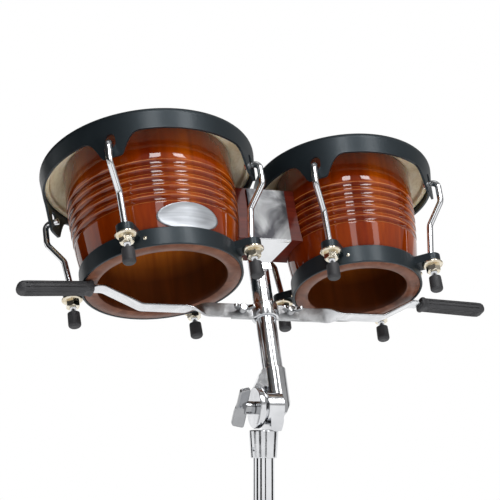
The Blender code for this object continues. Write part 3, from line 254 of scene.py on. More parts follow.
NUT_HEX_RADIUS = 0.0078
NUT_HEIGHT = 0.0104
CAP_TOP = 0.006
CAP_LENGTH = 0.017
CAP_RADIUS = 0.007
CAP_DOME = 0.0032
BLOCK_HALF_DEPTH = 0.025
BLOCK_TOP = 0.110

# Badge on the large drum, bare metal
BADGE_HALF_WIDTH = 0.0350
BADGE_HALF_HEIGHT = 0.0150
BADGE_HEIGHT = 0.0325
BADGE_AZIMUTH = radians(-84.5)
BADGE_THICKNESS = 0.0008
BADGE_SIDES = 72
RING_RIVET_RADIUS = 0.0022

# Sizes that follow from the ones above
LEG_AZIMUTHS = [FIRST_LEG_AZIMUTH + 2 * pi * i / LEG_COUNT for i in range(LEG_COUNT)]
MAIN_BORE_RADIUS = MAIN_TUBE_RADIUS - TUBE_WALL
COLLAR_RADIUS = MAIN_TUBE_RADIUS + FIT + COLLAR_WALL
LEG_PIVOT_RADIUS = COLLAR_RADIUS + LEG_STANDOFF + LEG_WIDTH / 2
LEG_LENGTH = LEG_PIVOT_HEIGHT / cos(LEG_SPREAD) - FOOT_SOLE
SPIDER_REST = LEG_PIVOT_HEIGHT - 2 * BRACE_LENGTH * cos(LEG_SPREAD)
SPIDER_FOLDED = LEG_PIVOT_HEIGHT - 2 * BRACE_LENGTH * cos(LEG_SPREAD - LEG_FOLD)
MAIN_TUBE_BOTTOM = SPIDER_FOLDED - SPIDER_HEIGHT / 2 - TUBE_END_MARGIN
CLAMP_BOLT_HEIGHT = MAIN_TUBE_TOP + CLAMP_NECK / 2
BRACKET_CENTRE = (LARGE_TOP_RADIUS - SMALL_TOP_RADIUS) / 2
HEAD_HEIGHT = SHELL_HEIGHT + FIT + SKIN_THICKNESS
STRAP_OFFSET = (FIT + ARM_THICKNESS) / 2
ARM_RISE_HEIGHT = (
    (GRIP_START - ARM_RISE_END) * tan(ARM_DROOP)
    - (GRIP_START - DRUM_SPACING / 2) * sin(SPLAY)
    - GRIP_TOUCH
    - GRIP_THICKNESS / 2
)

# Studio
# A lamp or flag is its name, azimuth, elevation, distance, width and height; a lamp also says its power
# and whether gloss sees it
LAMPS = [
    ("strip_left", 3, 50, 1.7, 0.34, 0.60, 7.4, True),
    ("strip_left_low", 3, 33, 1.7, 0.28, 0.40, 0.9, True),
    ("strip_right", 47, 50, 1.7, 0.34, 0.60, 7.4, True),
    ("strip_right_low", 47, 33, 1.7, 0.28, 0.40, 0.9, True),
    ("fill_low", 35, -6, 2.2, 1.4, 1.0, 4.6, False),
    ("fill_under", 15, -50, 1.2, 1.4, 1.3, 4.8, False),
]
FLAGS = [
    ("flag_left", -72, 8, 2.6, 1.0, 1.5),
    ("flag_left_back", -122, 4, 2.6, 0.95, 1.3),
    ("flag_right", 104, 6, 2.6, 1.3, 1.4),
    ("flag_front", -29, 6, 2.8, 0.9, 1.7),
    ("flag_camera", 18, 6, 2.8, 0.6, 1.7),
]
FILL_SPREAD = radians(90)
SKY_TONE = (0.97, 0.98, 1.0)
SKY_STRENGTH = 0.25
FLOOR_GLOW = 0.45
FLOOR_HALF = 6
FLOOR_LEVEL = -0.0005
CANOPY_RADIUS = 4.0
CANOPY_SIDES = 48
CANOPY_ELEVATIONS = [radians(degrees) for degrees in (13, 24, 34, 46, 60, 80)]
CANOPY_TONES = [(0.0, 0.02), (0.16, 0.03), (0.32, 0.17), (0.62, 0.26), (0.80, 0.38)]

# Camera
CAMERA_PLACE = Vector((-0.5522, -1.5383, 0.7919))
CAMERA_AIM = Vector((0.3416, 0.9272, 0.1531))
CAMERA_LENS = 108
CAMERA_SENSOR = 36


# Mesh tools


def finished(bm, sharp=40):
    bmesh.ops.remove_doubles(bm, verts=bm.verts, dist=WELD)
    bmesh.ops.recalc_face_normals(bm, faces=bm.faces)
    mesh = bpy.data.meshes.new("mesh")
    bm.to_mesh(mesh)
    bm.free()
    mesh.shade_smooth()
    mesh.set_sharp_from_angle(angle=radians(sharp))
    return mesh


def surface(rings, sharp=40, closed=False, capped=True):
    """Faces from ring to ring; a ring of one point is a tip, and any other open end gets a face."""
    bm = bmesh.new()
    rows = [[bm.verts.new(point) for point in ring] for ring in rings]
    count = max(len(row) for row in rows)
    pairs = list(zip(rows, rows[1:]))
    if closed:
        pairs.append((rows[-1], rows[0]))
    for lower, upper in pairs:
        for i in range(count):
            near = [row[i % len(row)] for row in (lower, upper)]
            far = [row[(i + 1) % count % len(row)] for row in (lower, upper)]
            bm.faces.new(list(dict.fromkeys([near[0], far[0], far[1], near[1]])))
    if capped and not closed:
        for end in (rows[0][::-1], rows[-1]):
            if len(end) > 1:
                bm.faces.new(end)
    return finished(bm, sharp)


def filleted(points, radius, closed=True, steps=ROUND_STEPS):
    """The outline with each corner rounded; the ends of an open outline stay as they are."""
    count = len(points)
    rounded = []
    for i, corner in enumerate(points):
        if not closed and i in (0, count - 1):
            rounded.append(tuple(corner))
            continue
        corner = Vector(corner)
        before = Vector(points[i - 1]) - corner
        after = Vector(points[(i + 1) % count]) - corner
        reach = min(radius, before.length * CORNER_SHARE, after.length * CORNER_SHARE)
        first = corner + before.normalized() * reach
        last = corner + after.normalized() * reach
        for step in range(steps + 1):
            t = step / steps
            rounded.append(tuple(first * (1 - t) ** 2 + corner * 2 * t * (1 - t) + last * t**2))
    return rounded


def arc(centre, radius, start, end, steps=12):
    angles = [start + (end - start) * i / steps for i in range(steps + 1)]
    return [(centre[0] + radius * cos(angle), centre[1] + radius * sin(angle)) for angle in angles]


def circle(radius, height, sides):
    return [(x, y, height) for x, y in arc((0, 0), radius, 0, 2 * pi, sides)[:-1]]


def lathe(profile, sides=LATHE_SIDES, sharp=40):
    """A (radius, height) outline turned about Z; one that starts and ends on the axis is open."""
    rings = [circle(radius, height, sides) if radius > 0 else [(0, 0, height)] for radius, height in profile]
    return surface(rings, sharp, closed=profile[0][0] > 0)


def turned(profile, radius=0.0008, sides=LATHE_SIDES, sharp=40):
    """A lathe piece whose outline has rounded corners."""
    return lathe(filleted(profile, radius, closed=profile[0][0] > 0), sides, sharp)


def extruded(outline, axis, start, end):
    """A flat outline drawn out along one axis; its two coordinates are the other two axes in order."""
    spot = "XYZ".index(axis)
    return surface([[(*point[:spot], level, *point[spot:]) for point in outline] for level in (start, end)])


def rectangle(x0, x1, y0, y1):
    return [(x0, y0), (x1, y0), (x1, y1), (x0, y1)]


def soft_rectangle(half_x, half_y, radius, steps):
    return filleted(rectangle(-half_x, half_x, -half_y, half_y), radius, steps=steps)


def near_to(x, z, points):
    """Points that are given from the corner (x, z)."""
    return [(x + right, z + up) for right, up in points]


def box(x0, x1, y0, y1, z0, z1):
    return extruded(rectangle(x0, x1, y0, y1), "Z", z0, z1)


def rod(radius, start, end, sides=SMALL_SIDES):
    return lathe([(0, start), (radius, start), (radius, end), (0, end)], sides)


def plug(radius, start, end, rounding, sides=SMALL_SIDES):
    """A rod with rounded edges."""
    return turned([(0, start), (radius, start), (radius, end), (0, end)], rounding, sides)


def tube(outer, inner, bottom, top, rounding=0.0004):
    return turned([(outer, bottom), (outer, top), (inner, top), (inner, bottom)], rounding)


def shift(x=0.0, y=0.0, z=0.0):
    return Matrix.Translation((x, y, z))


def turn(angle, axis):
    return Matrix.Rotation(angle, 4, axis)


def moved(mesh, matrix):
    mesh.transform(matrix)
    return mesh


def along(mesh, axis, x=0.0, z=0.0):
    """Turns a mesh made along Z so that its Z lies along another axis, then shifts it."""
    rotation = Vector((0, 0, 1)).rotation_difference(Vector(axis)).to_matrix().to_4x4()
    return moved(mesh, shift(x, 0, z) @ rotation)


def cross_hole(radius, x=0.0, z=0.0, reach=OVERRUN):
    """What a hole along Y for a pin takes away."""
    return along(rod(radius + FIT, -reach, reach), Y_AXIS, x, z)


def linked(name, data):
    piece = bpy.data.objects.new(name, data)
    bpy.context.collection.objects.link(piece)
    return piece


def boolean(base, tool, operation):
    helper = linked("helper", tool)
    body = linked("body", base)
    modifier = body.modifiers.new("boolean", "BOOLEAN")
    modifier.operation = operation
    modifier.solver = "EXACT"
    modifier.object = helper
    result = bpy.data.meshes.new_from_object(body.evaluated_get(bpy.context.evaluated_depsgraph_get()))
    for piece in (body, helper):
        bpy.data.objects.remove(piece, do_unlink=True)
    return result


def joined(base, *others):
    for other in others:
        base = boolean(base, other, "UNION")
    return base


def cut(base, *tools):
    for tool in tools:
        base = boolean(base, tool, "DIFFERENCE")
    return base


def runs(path):
    """The direction of a path at each of its points."""
    points = [Vector(point) for point in path]
    last = len(points) - 1
    return [(points[min(i + 1, last)] - points[max(i - 1, 0)]).normalized() for i in range(last + 1)]


def share_between(value, low, high):
    return min(max((value - low) / (high - low), 0.0), 1.0)


def bent_path(corners, bends, steps=10):
    """A flat polyline with each inner corner rounded to its bend radius."""
    points = [Vector(corners[0])]
    for before, corner, after, bend in zip(corners, corners[1:], corners[2:], bends):
        corner = Vector(corner)
        back = (Vector(before) - corner).normalized()
        ahead = (Vector(after) - corner).normalized()
        half = back.angle(ahead) / 2
        run = bend / tan(half)
        centre = corner + (back + ahead).normalized() * bend / sin(half)
        first = corner + back * run - centre
        sweep = first.angle_signed(corner + ahead * run - centre)
        for i in range(steps + 1):
            points.append(centre + Matrix.Rotation(-sweep * i / steps, 2) @ first)
    points.append(Vector(corners[-1]))
    return [(point.x, point.y) for point in points]


def swept(path, radii, sides=24):
    """A round bar along a path in the XZ plane, with a radius for each of its points."""
    rings = []
    for (x, z), run, radius in zip(path, runs(path), radii):
        rings.append([(x - run.y * side, out, z + run.x * side) for side, out, _ in circle(radius, 0, sides)])
    return surface(rings, 50)


def stadium(width, top, bottom):
    half = width / 2
    return arc((0, top), half, 0, pi) + arc((0, bottom), half, pi, 2 * pi)


def wing_head(span, depth, barrel_radius, thickness):
    """Barrel and two wings about Z, from its seat at 0 outwards."""
    half = span / 2
    side = [
        (barrel_radius, depth * 0.18), (half * 0.72, depth * 0.36), (half * 0.97, depth * 0.66),
        (half, depth * 0.86), (half * 0.88, depth), (half * 0.66, depth * 0.96), (barrel_radius, depth * 0.62),
    ]
    outline = filleted(side + [(-x, z) for x, z in side[::-1]], depth * 0.14)
    wings = extruded(outline, "Y", -thickness / 2, thickness / 2)
    profile = [(0, 0), (barrel_radius, 0), (barrel_radius, depth * 0.30)]
    profile += [(barrel_radius * 0.85, depth * 0.66), (0, depth * 0.66)]
    return joined(turned(profile, 0.0012, SMALL_SIDES), wings)


def threaded(radius, start, end, pitch=0.0012):
    """A bar along Z with the ridges of a thread."""
    profile = [(0, start), (radius * 0.8, start)]
    z = start + pitch / 2
    while z < end - pitch:
        profile += [(radius, z + pitch / 4), (radius * 0.86, z + pitch * 0.75)]
        z += pitch
    return lathe(profile + [(radius * 0.86, end), (0, end)], SMALL_SIDES)


def wing_bolt(wing, radius, tip, pitch=0.0012):
    return joined(wing_head(*wing), threaded(radius, tip, wing[1] / 3, pitch))


def rivet_head(radius, sunk, face, shoulder, top, rounding, sides=SMALL_SIDES):
    """A domed head about Z that starts a little inside the plate under it."""
    profile = [(0, sunk), (radius, sunk), (radius, face + 0.0004), (radius * 0.6, shoulder), (0, top)]
    return turned(profile, rounding, sides)


# Materials


def rgba(tone):
    """A colour of three parts, or a grey given as one number."""
    return (*tone, 1.0) if isinstance(tone, tuple) else (tone, tone, tone, 1.0)


def fill(tree, node, inputs):
    """Sets the inputs of a node, or links the ones that are given another node's output."""
    for name, value in inputs.items():
        socket = node.inputs[name]
        if isinstance(value, bpy.types.NodeSocket):
            tree.links.new(value, socket)
        else:
            socket.default_value = rgba(value) if socket.type == "RGBA" else value


def add_node(tree, kind, inputs=None, operation=None):
    node = tree.nodes.new("ShaderNode" + kind)
    if operation:
        node.operation = operation
    fill(tree, node, inputs or {})
    return node


class Finish:
    """A material's node tree; a source is an output, or a tuple that span or texture turns into one."""

    def __init__(self, name, **sockets):
        self.material = bpy.data.materials.new(name)
        self.material.use_nodes = True
        self.tree = self.material.node_tree
        self.shader = self.tree.nodes["Principled BSDF"]
        self.place = self.node("TexCoord").outputs["Object"]
        self.set(**sockets)

    def node(self, kind, inputs=None, operation=None):
        return add_node(self.tree, kind, inputs, operation)

    def set(self, **sockets):
        fill(self.tree, self.shader, {name.replace("_", " "): value for name, value in sockets.items()})

    def output(self, source):
        if not isinstance(source, tuple):
            return source
        return self.span(*source) if isinstance(source[0], str) else self.texture(*source)

    def texture(self, scale, detail=None, stretch=None, distortion=0.0):
        """Noise over the object's own coordinates, or cells where no detail is given."""
        where = self.place
        if stretch:
            where = self.node("Mapping", {"Scale": stretch, "Vector": where}).outputs["Vector"]
        if detail is None:
            return self.node("TexVoronoi", {"Scale": scale, "Vector": where}).outputs["Distance"]
        inputs = {"Scale": scale, "Detail": detail, "Distortion": distortion, "Vector": where}
        return self.node("TexNoise", inputs).outputs["Fac"]

    def span(self, axis, start, end):
        """0 to 1 between two places along one of the object's own axes."""
        split = self.node("SeparateXYZ", {"Vector": self.place})
        inputs = {"Value": split.outputs[axis], "From Min": start, "From Max": end}
        return self.node("MapRange", inputs).outputs["Result"]

    def ramp(self, source, stops):
        node = self.node("ValToRGB", {"Fac": self.output(source)})
        band = node.color_ramp
        while len(band.elements) < len(stops):
            band.elements.new(0.5)
        for element, (position, tone) in zip(band.elements, stops):
            element.position = position
            element.color = rgba(tone)
        return node.outputs["Color"]

    def mix(self, factor, first, second, blend="MIX"):
        node = self.node("Mix")
        node.data_type = "RGBA"
        node.blend_type = blend
        fill(self.tree, node, {"Factor": factor, "A": first, "B": second})
        return node.outputs["Result"]

    def layered(self, source, stops, *layers):
        """A ramp, darkened by layers of (share, source, stops)."""
        tone = self.ramp(source, stops)
        for share, over, over_stops in layers:
            tone = self.mix(share, tone, self.ramp(over, over_stops), "MULTIPLY")
        return tone

    def roughness(self, source, low, high):
        spread = self.node("MapRange", {"Value": self.output(source), "To Min": low, "To Max": high})
        self.set(Roughness=spread.outputs["Result"])

    def bumped(self, *layers):
        """The material, with bump from layers of (source, strength, distance), one over the other."""
        inputs = {}
        for source, strength, distance in layers:
            inputs |= {"Height": self.output(source), "Strength": strength, "Distance": distance}
            inputs["Normal"] = self.node("Bump", inputs).outputs["Normal"]
        if layers:
            self.set(Normal=inputs["Normal"])
        return self.material


def both(low, high):
    """Ramp stops over the values that a noise mostly takes."""
    return [(0.3, low), (0.7, high)]


def clouded(name, colour, rough=None, bumps=(), **sockets):
    """A finish from the arguments of layered, roughness and bumped."""
    finish = Finish(name, **sockets)
    finish.set(Base_Color=finish.layered(*colour))
    if rough:
        finish.roughness(*rough)
    return finish.bumped(*bumps)


def satin():
    """Plated flat steel, a little dull and uneven; darker and rougher on the upright run and the ear than on
    the loop in front of the post and on the rise.
    """
    finish = Finish("satin_plate", Metallic=1.0)
    haze = finish.texture(45, 5, distortion=0.6)
    start = (ARM_TWIST_END - ARM_TWIST_START) / (2 * ARM_TWIST_END)
    loop = (ARM_TWIST_END - POST_RADIUS) / (2 * ARM_TWIST_END)
    fade = 0.03
    stops = [(0.0, 0), (start, 1), (loop - fade, 1), (loop, 0), (1 - loop, 0), (1 - loop + fade, 1)]
    upright = finish.ramp(("X", -ARM_TWIST_END, ARM_TWIST_END), stops)
    bright = finish.ramp(haze, [(0.32, (0.62, 0.63, 0.65)), (0.6, (0.82, 0.83, 0.85))])
    # The darker, more mottled tone of the upright run and the ear.
    darker_tone = finish.ramp(haze, [(0.36, (0.26, 0.26, 0.27)), (0.56, (0.60, 0.61, 0.62))])
    finish.set(Base_Color=finish.mix(upright, bright, darker_tone))
    finish.roughness(finish.mix(0.75, finish.texture(70, 4), upright), 0.16, 0.56)
    return finish.bumped(((90, 3), 0.05, 0.0004), ((28, 2), 0.05, 0.0012))


def chrome(name, dull=0.0):
    colour = (26, 4), both((0.72, 0.73, 0.75), (0.83, 0.84, 0.86))
    bumps = [((320, 2), 0.008, 0.0002), ((30, 2), 0.012, 0.0006)]
    return clouded(name, colour, ((90, 4), 0.035 + dull, 0.12 + dull), bumps, Metallic=1.0)


def cast_chrome(name, level=1.0):
    dark, light = (tuple(level * part for part in tone) for tone in ((0.62, 0.63, 0.65), (0.80, 0.81, 0.83)))
    bumps = [((170, 3), 0.12, 0.0003), ((45, 2), 0.15, 0.0010)]
    return clouded(name, ((40, 5), both(dark, light)), ((120, 4), 0.07, 0.20), bumps, Metallic=1.0)


def brushed_plate():
    finish = Finish("brushed_plate", Metallic=1.0)
    streaks = finish.texture(10, 6, (12, 1, 1))
    # Painted reflection: dark blotches mixed into the plate's colour.
    painted_reflection_blotches = finish.ramp((24, 4, None, 0.8), [(0.40, 0), (0.60, 1)])
    tone = finish.ramp(streaks, both((0.42, 0.43, 0.44), (0.50, 0.51, 0.52)))
    finish.set(Base_Color=finish.mix(painted_reflection_blotches, tone, (0.09, 0.09, 0.10)))
    finish.roughness(streaks, 0.54, 0.64)
    return finish.bumped((streaks, 0.04, 0.0002))


def lacquer():
    """Sunburst lacquer over upright grain, with painted shade under the rim, in the coves and a little towards
    the bottom, and lighter lines on the coves' lips that are partly lacquer rubbed thin and partly painted
    highlight.
    """
    finish = Finish(
        "sunburst_lacquer", Roughness=0.35, Specular_IOR_Level=0.0,
        Coat_Weight=1.0, Coat_Roughness=0.03, Coat_IOR=1.5,
    )
    grain = finish.texture(150, 6, (1.0, 1.0, 0.035), 0.4)
    first = COVE_START - COVE_PITCH / 2
    coves = ("Z", first, first + COVE_PITCH * COVE_COUNT)
    edges = [(0.0, 0)]
    # Painted shade: each cove is darker towards its hollow middle.
    painted_cove_shade = [(0.0, 1)]
    fade = 0.010
    for i in range(COVE_COUNT):
        for side in (-1, 1):
            lip = (i + 0.5 + side * COVE_HALF_WIDTH / COVE_PITCH) / COVE_COUNT
            edges += [(lip - fade, 0), (lip, 1), (lip + fade, 0)]
        painted_cove_shade += [((i + 0.5) / COVE_COUNT, (0.60, 0.50, 0.45)), ((i + 1) / COVE_COUNT, 1)]
    # Lighter lines along the coves' lips: partly lacquer rubbed thin, partly painted highlight.
    lip_highlight_and_wear = finish.layered(coves, edges, (1.0, (30, 3, (1.0, 1.0, 0.4)), [(0.35, 0.25), (0.6, 1)]))
    # Painted shade: darker under the rim, where its shadow and its reflection fall, and a little darker
    # towards the bottom.
    painted_rim_shade = [(0.0, (0.80, 0.74, 0.70)), (0.3, 1), (0.72, 1), (0.95, (0.50, 0.40, 0.38))]
    wood = finish.layered(
        (22, 4, (1.0, 1.0, 0.12)),
        [(0.25, (0.14, 0.010, 0.001)), (0.5, (0.26, 0.036, 0.001)), (0.75, (0.42, 0.085, 0.001))],
        (0.55, grain, [(0.35, (0.55, 0.45, 0.42)), (0.62, 1)]),
        (1.0, ("Z", 0.0, SHELL_HEIGHT), painted_rim_shade),
        (1.0, coves, painted_cove_shade),
    )
    finish.set(Base_Color=finish.mix(lip_highlight_and_wear, wood, (0.60, 0.21, 0.05)))
    return finish.bumped(((35, 2, (1.0, 1.0, 0.3)), 0.04, 0.0006), (grain, 0.03, 0.0001))


INSIDE_GRAIN = (90, 6, (1.0, 1.0, 0.05), 0.6)
END_RINGS = (55, 5, (1.0, 1.0, 0.3), 1.2)
PORES = (650,)
BLOCK_GRAIN = (120, 6, (0.06, 1.0, 1.0), 0.5)
SKIN_CLOUDS = (18, 6, None, 0.8)
SKIN_FIBRES = (260, 5, (1.0, 0.25, 1.0), 1.5)
BADGE_STREAKS = (14, 5, (1.0, 1.0, 30))
# Painted light and shade inside the shells: dark towards the bottom, and lighter than the stain's own colour
# higher up.
INSIDE_PAINTED_LIGHT = [
    (0.0, (0.16, 0.12, 0.11)), (0.28, (0.22, 0.16, 0.13)), (0.40, (0.60, 0.55, 0.45)), (0.54, (1.6, 1.7, 1.4)),
]
finishes = {
    "chrome": chrome("chrome_plate"),
    "post_chrome": chrome("post_chrome", 0.09),
    "satin": satin(),
    "cast_chrome": cast_chrome("chrome_casting"),
    "dull_casting": cast_chrome("dull_casting", 0.55),
    "plate": brushed_plate(),
    "lacquered_wood": lacquer(),
    "zinc": clouded(
        "warm_nickel",
        ((160, 4), [(0.3, (0.66, 0.56, 0.40)), (0.55, (0.82, 0.76, 0.63)), (0.8, (0.90, 0.87, 0.79))]),
        ((300, 3), 0.10, 0.22), [((500, 3), 0.10, 0.0002)], Metallic=1.0,
    ),
    "black_steel": clouded(
        "black_powder_coat", ((14, 3), both((0.005, 0.008, 0.010), (0.010, 0.014, 0.017))),
        ((60, 4), 0.36, 0.48), [((1300,), 0.03, 0.0001), ((420, 2), 0.05, 0.0002)],
        Specular_IOR_Level=0.42, Specular_Tint=(0.76, 0.90, 1.0), Coat_Weight=0.12, Coat_Roughness=0.22,
    ),
    "rubber": clouded(
        "black_rubber", ((50, 5), both((0.018, 0.018, 0.020), (0.034, 0.034, 0.037))),
        ((140, 4), 0.45, 0.68), [((700, 4), 0.15, 0.0002)],
    ),
    "inside": clouded(
        "stained_inside",
        (
            INSIDE_GRAIN,
            [(0.3, (0.26, 0.065, 0.007)), (0.55, (0.36, 0.098, 0.011)), (0.75, (0.46, 0.13, 0.016))],
            (1.0, ("Z", 0.0, SHELL_HEIGHT), INSIDE_PAINTED_LIGHT),
        ),
        ((60, 3), 0.35, 0.55), [(INSIDE_GRAIN, 0.12, 0.0004)],
        Coat_Weight=0.15, Coat_Roughness=0.25, Specular_IOR_Level=0.25,
    ),
    "end_grain": clouded(
        "lacquered_end_grain",
        (
            END_RINGS, both((0.105, 0.038, 0.022), (0.215, 0.092, 0.056)),
            (0.6, PORES, [(0.05, (0.6, 0.5, 0.45)), (0.3, 1)]),
        ),
        (END_RINGS, 0.28, 0.42), [(PORES, 0.10, 0.0002)],
        Specular_IOR_Level=0.12, Coat_Weight=0.15, Coat_Roughness=0.15,
    ),
    "block_wood": clouded(
        "block_lacquer", (BLOCK_GRAIN, both((0.055, 0.006, 0.004), (0.14, 0.018, 0.008))),
        None, [(BLOCK_GRAIN, 0.05, 0.0002)],
        Roughness=0.45, Specular_IOR_Level=0.05, Coat_Weight=0.12, Coat_Roughness=0.12,
    ),
    "skin": clouded(
        "natural_skin",
        (
            SKIN_CLOUDS, [(0.3, (0.76, 0.64, 0.40)), (0.5, (0.88, 0.79, 0.56)), (0.72, (0.93, 0.87, 0.71))],
            (0.5, SKIN_FIBRES, [(0.38, (0.80, 0.74, 0.62)), (0.55, 1)]),
        ),
        (SKIN_CLOUDS, 0.38, 0.55), [(SKIN_FIBRES, 0.12, 0.0003), (SKIN_CLOUDS, 0.10, 0.001)],
        Subsurface_Weight=0.25, Subsurface_Radius=(0.004, 0.003, 0.002), Subsurface_Scale=0.3,
    ),
    "badge_plate": clouded(
        "brushed_badge", (BADGE_STREAKS, both((0.40, 0.42, 0.45), (0.53, 0.55, 0.58))),
        (BADGE_STREAKS, 0.42, 0.52), [(BADGE_STREAKS, 0.08, 0.0001)], Metallic=1.0,
    ),
    "flag": clouded(
        "flag_cloth", ((30, 3), both((0.010, 0.010, 0.011), (0.018, 0.018, 0.020))),
        Roughness=1.0, Specular_IOR_Level=0.0,
    ),
}


# Placing

BODY_OF_NODE = {
    node: body for body, nodes in frame["record"]["behaviour"]["bodies"].items() for node in nodes
}
STAND = shift(y=STAND_SHIFT)
HINGE = STAND @ shift(z=HINGE_HEIGHT)
TILT = HINGE @ shift(x=POST_OFFSET) @ turn(-LEAN, "X")
PAIR = TILT @ shift(y=-DRUMS_FORWARD, z=DRUMS_ABOVE_HINGE)


def add_piece(name, mesh, finish, place, body):
    """A piece that rides on a body; it takes the finish unless its mesh has finishes of its own."""
    piece = linked(name, mesh)
    piece.matrix_world = place
    if not mesh.materials:
        mesh.materials.append(finishes[finish])
    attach(piece, body)
    return piece


def dress(node, mesh, finish, place, bevel=0.0, segments=2):
    """Puts a mesh in the place of a CAD node, riding on the node's body."""
    piece = add_piece(f"{node}_look", mesh, finish, place, BODY_OF_NODE[node])
    if bevel:
        modifier = piece.modifiers.new("soft_edges", "BEVEL")
        modifier.width = bevel
        modifier.segments = segments
        modifier.limit_method = "ANGLE"
        modifier.angle_limit = radians(35)
        piece.modifiers.new("even_normals", "WEIGHTED_NORMAL").keep_sharp = True
    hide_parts(node)


# Column


def height_clamp():
    socket = MAIN_TUBE_RADIUS + FIT
    neck = EXTENSION_RADIUS + SLIDE
    outer = socket + CLAMP_WALL
    bottom = MAIN_TUBE_TOP - CLAMP_SOCKET
    step = MAIN_TUBE_TOP + FIT
    top = MAIN_TUBE_TOP + CLAMP_NECK
    groove = [(-0.001, 0), (0, 0.001), (0, 0.004), (-0.0007, 0.005), (-0.0007, 0.006), (0, 0.007)]
    profile = near_to(outer, bottom, groove) + near_to(outer, top, [(0, -0.004), (-0.004, 0)])
    body = turned(profile + [(neck, top), (neck, step), (socket, step), (socket, bottom)], 0.0010)
    boss = plug(CLAMP_BOSS_RADIUS, (neck + outer) / 2, CLAMP_BOSS_REACH, 0.0010)
    hole = rod(CLAMP_BOLT_RADIUS + FIT, 0, CLAMP_BOSS_REACH + OVERRUN)
    boss, hole = (along(mesh, (-1, 0, 0), z=CLAMP_BOLT_HEIGHT) for mesh in (boss, hole))
    return cut(joined(body, boss), hole)


def dress_column():
    main_tube = tube(MAIN_TUBE_RADIUS, MAIN_BORE_RADIUS, MAIN_TUBE_BOTTOM, MAIN_TUBE_TOP)
    dress("main_tube", main_tube, "chrome", STAND)
    dress("height_clamp", height_clamp(), "cast_chrome", STAND, 0.0008)
    seat = STAND @ shift(x=-CLAMP_BOSS_REACH - FIT, z=CLAMP_BOLT_HEIGHT) @ turn(-pi / 2, "Y")
    bolt = wing_bolt(CLAMP_WING, CLAMP_BOLT_RADIUS, EXTENSION_RADIUS - CLAMP_BOSS_REACH)
    dress("height_wing_bolt", bolt, "cast_chrome", seat, 0.0010)
    top = -LOWER_SOCKET_TOP - SOCKET_FLOOR - FIT
    bottom = MAIN_TUBE_TOP - EXTENSION_OVERLAP - HINGE_HEIGHT
    dress("extension_tube", tube(EXTENSION_RADIUS, EXTENSION_RADIUS - TUBE_WALL, bottom, top), "chrome", HINGE)


# Tripod


def leg_collar():
    body = tube(COLLAR_RADIUS, MAIN_TUBE_RADIUS + FIT, -COLLAR_HEIGHT / 2, COLLAR_HEIGHT / 2, 0.0015)
    half = LEG_GAP / 2 - FIT
    root = COLLAR_RADIUS - COLLAR_WALL / 2
    outline = [(root, LUG_HEIGHT / 2), (root, -LUG_HEIGHT / 2)]
    outline += arc((LEG_PIVOT_RADIUS, 0), LUG_REACH, -pi / 2, pi / 2)
    for azimuth in LEG_AZIMUTHS:
        lug = cut(extruded(outline, "Y", -half, half), cross_hole(PIN_RADIUS, LEG_PIVOT_RADIUS))
        body = joined(body, moved(lug, turn(azimuth, "Z")))
    return body


def cross_rivet(height):
    face = LEG_GAP / 2 + LEG_PLATE
    end = face + RIVET_HEIGHT
    sunk = face - LEG_PLATE / 3
    side = [(PIN_RADIUS, sunk), (RIVET_RADIUS, sunk), (RIVET_RADIUS, face)]
    side += [(RIVET_RADIUS * 0.6, end - 0.0002), (0, end)]
    profile = [(radius, -y) for radius, y in reversed(side)] + side
    return along(turned(profile, 0.0004, SMALL_SIDES), Y_AXIS, z=height)


def leg():
    inner = LEG_GAP / 2
    outer = inner + LEG_PLATE
    middle = inner + LEG_PLATE / 2
    half = LEG_WIDTH / 2
    outline = arc((0, 0), half, 0, pi, 20) + [(-half, -LEG_LENGTH), (half, -LEG_LENGTH)]
    near = extruded(outline, "Y", -outer, -inner)
    far = extruded(outline, "Y", inner, outer)
    tongue = box(-half, half, -middle, middle, -LEG_LENGTH, LEG_TONGUE - LEG_LENGTH)
    return joined(near, tongue, far, cross_rivet(0), cross_rivet(-BRACE_LENGTH))


def sole_height(x):
    return -(LEG_PIVOT_HEIGHT + x * sin(LEG_SPREAD)) / cos(LEG_SPREAD)


def foot():
    """Rubber boot with a flat sole, a thicker toe and two mould ribs."""
    half = LEG_WIDTH / 2 + FIT
    side = LEG_GAP / 2 + LEG_PLATE + FIT
    toe = -LEG_LENGTH
    top = FOOT_GRIP - LEG_LENGTH
    ribs = [(0, 0.006), (0, 0.012), (0.0012, 0.0135), (0.0012, 0.016), (0.0004, 0.017), (0.0004, 0.0195)]
    mouth = [(0.0014, -0.004), (0.0008, -0.003), (0.0008, -0.0008), (0.0016, 0)]
    levels = [(0, None)] + near_to(0, toe, ribs + [(0.0014, 0.0205)]) + near_to(0, top, mouth)
    rings = []
    for inset, height in levels:
        x = half + FOOT_WALL - inset
        y = side + FOOT_WALL - inset
        corners = soft_rectangle(x, y, FOOT_CORNER, 5)
        rings.append([(px, py, sole_height(px) if height is None else height) for px, py in corners])
    return cut(surface(rings, 50), box(-half, half, -side, side, toe - FIT, top + OVERRUN))


def brace():
    half = LEG_GAP / 2 - FIT
    return cut(extruded(stadium(BRACE_WIDTH, 0, -BRACE_LENGTH), "Y", -half, half), cross_hole(PIN_RADIUS))


def spider():
    inner = MAIN_TUBE_RADIUS + SLIDE
    outer = inner + SPIDER_WALL
    half = SPIDER_HEIGHT / 2
    body = tube(outer, inner, -half, half, 0.0015)
    tip = LEG_PIVOT_RADIUS + BRACE_WIDTH / 2
    outline = filleted(rectangle(outer - SPIDER_WALL / 2, tip, -half, half), 0.006)
    face = LEG_GAP / 2 + CHEEK
    top = face + RIVET_HEIGHT
    for azimuth in LEG_AZIMUTHS:
        for side in (-1, 1):
            cheek = extruded(outline, "Y", side * LEG_GAP / 2, side * face)
            head = rivet_head(RIVET_RADIUS, face - CHEEK / 3, face, top, top, 0.0005)
            cheek = joined(cheek, along(head, (0, side, 0), LEG_PIVOT_RADIUS))
            body = joined(body, moved(cheek, turn(azimuth, "Z")))
    return body


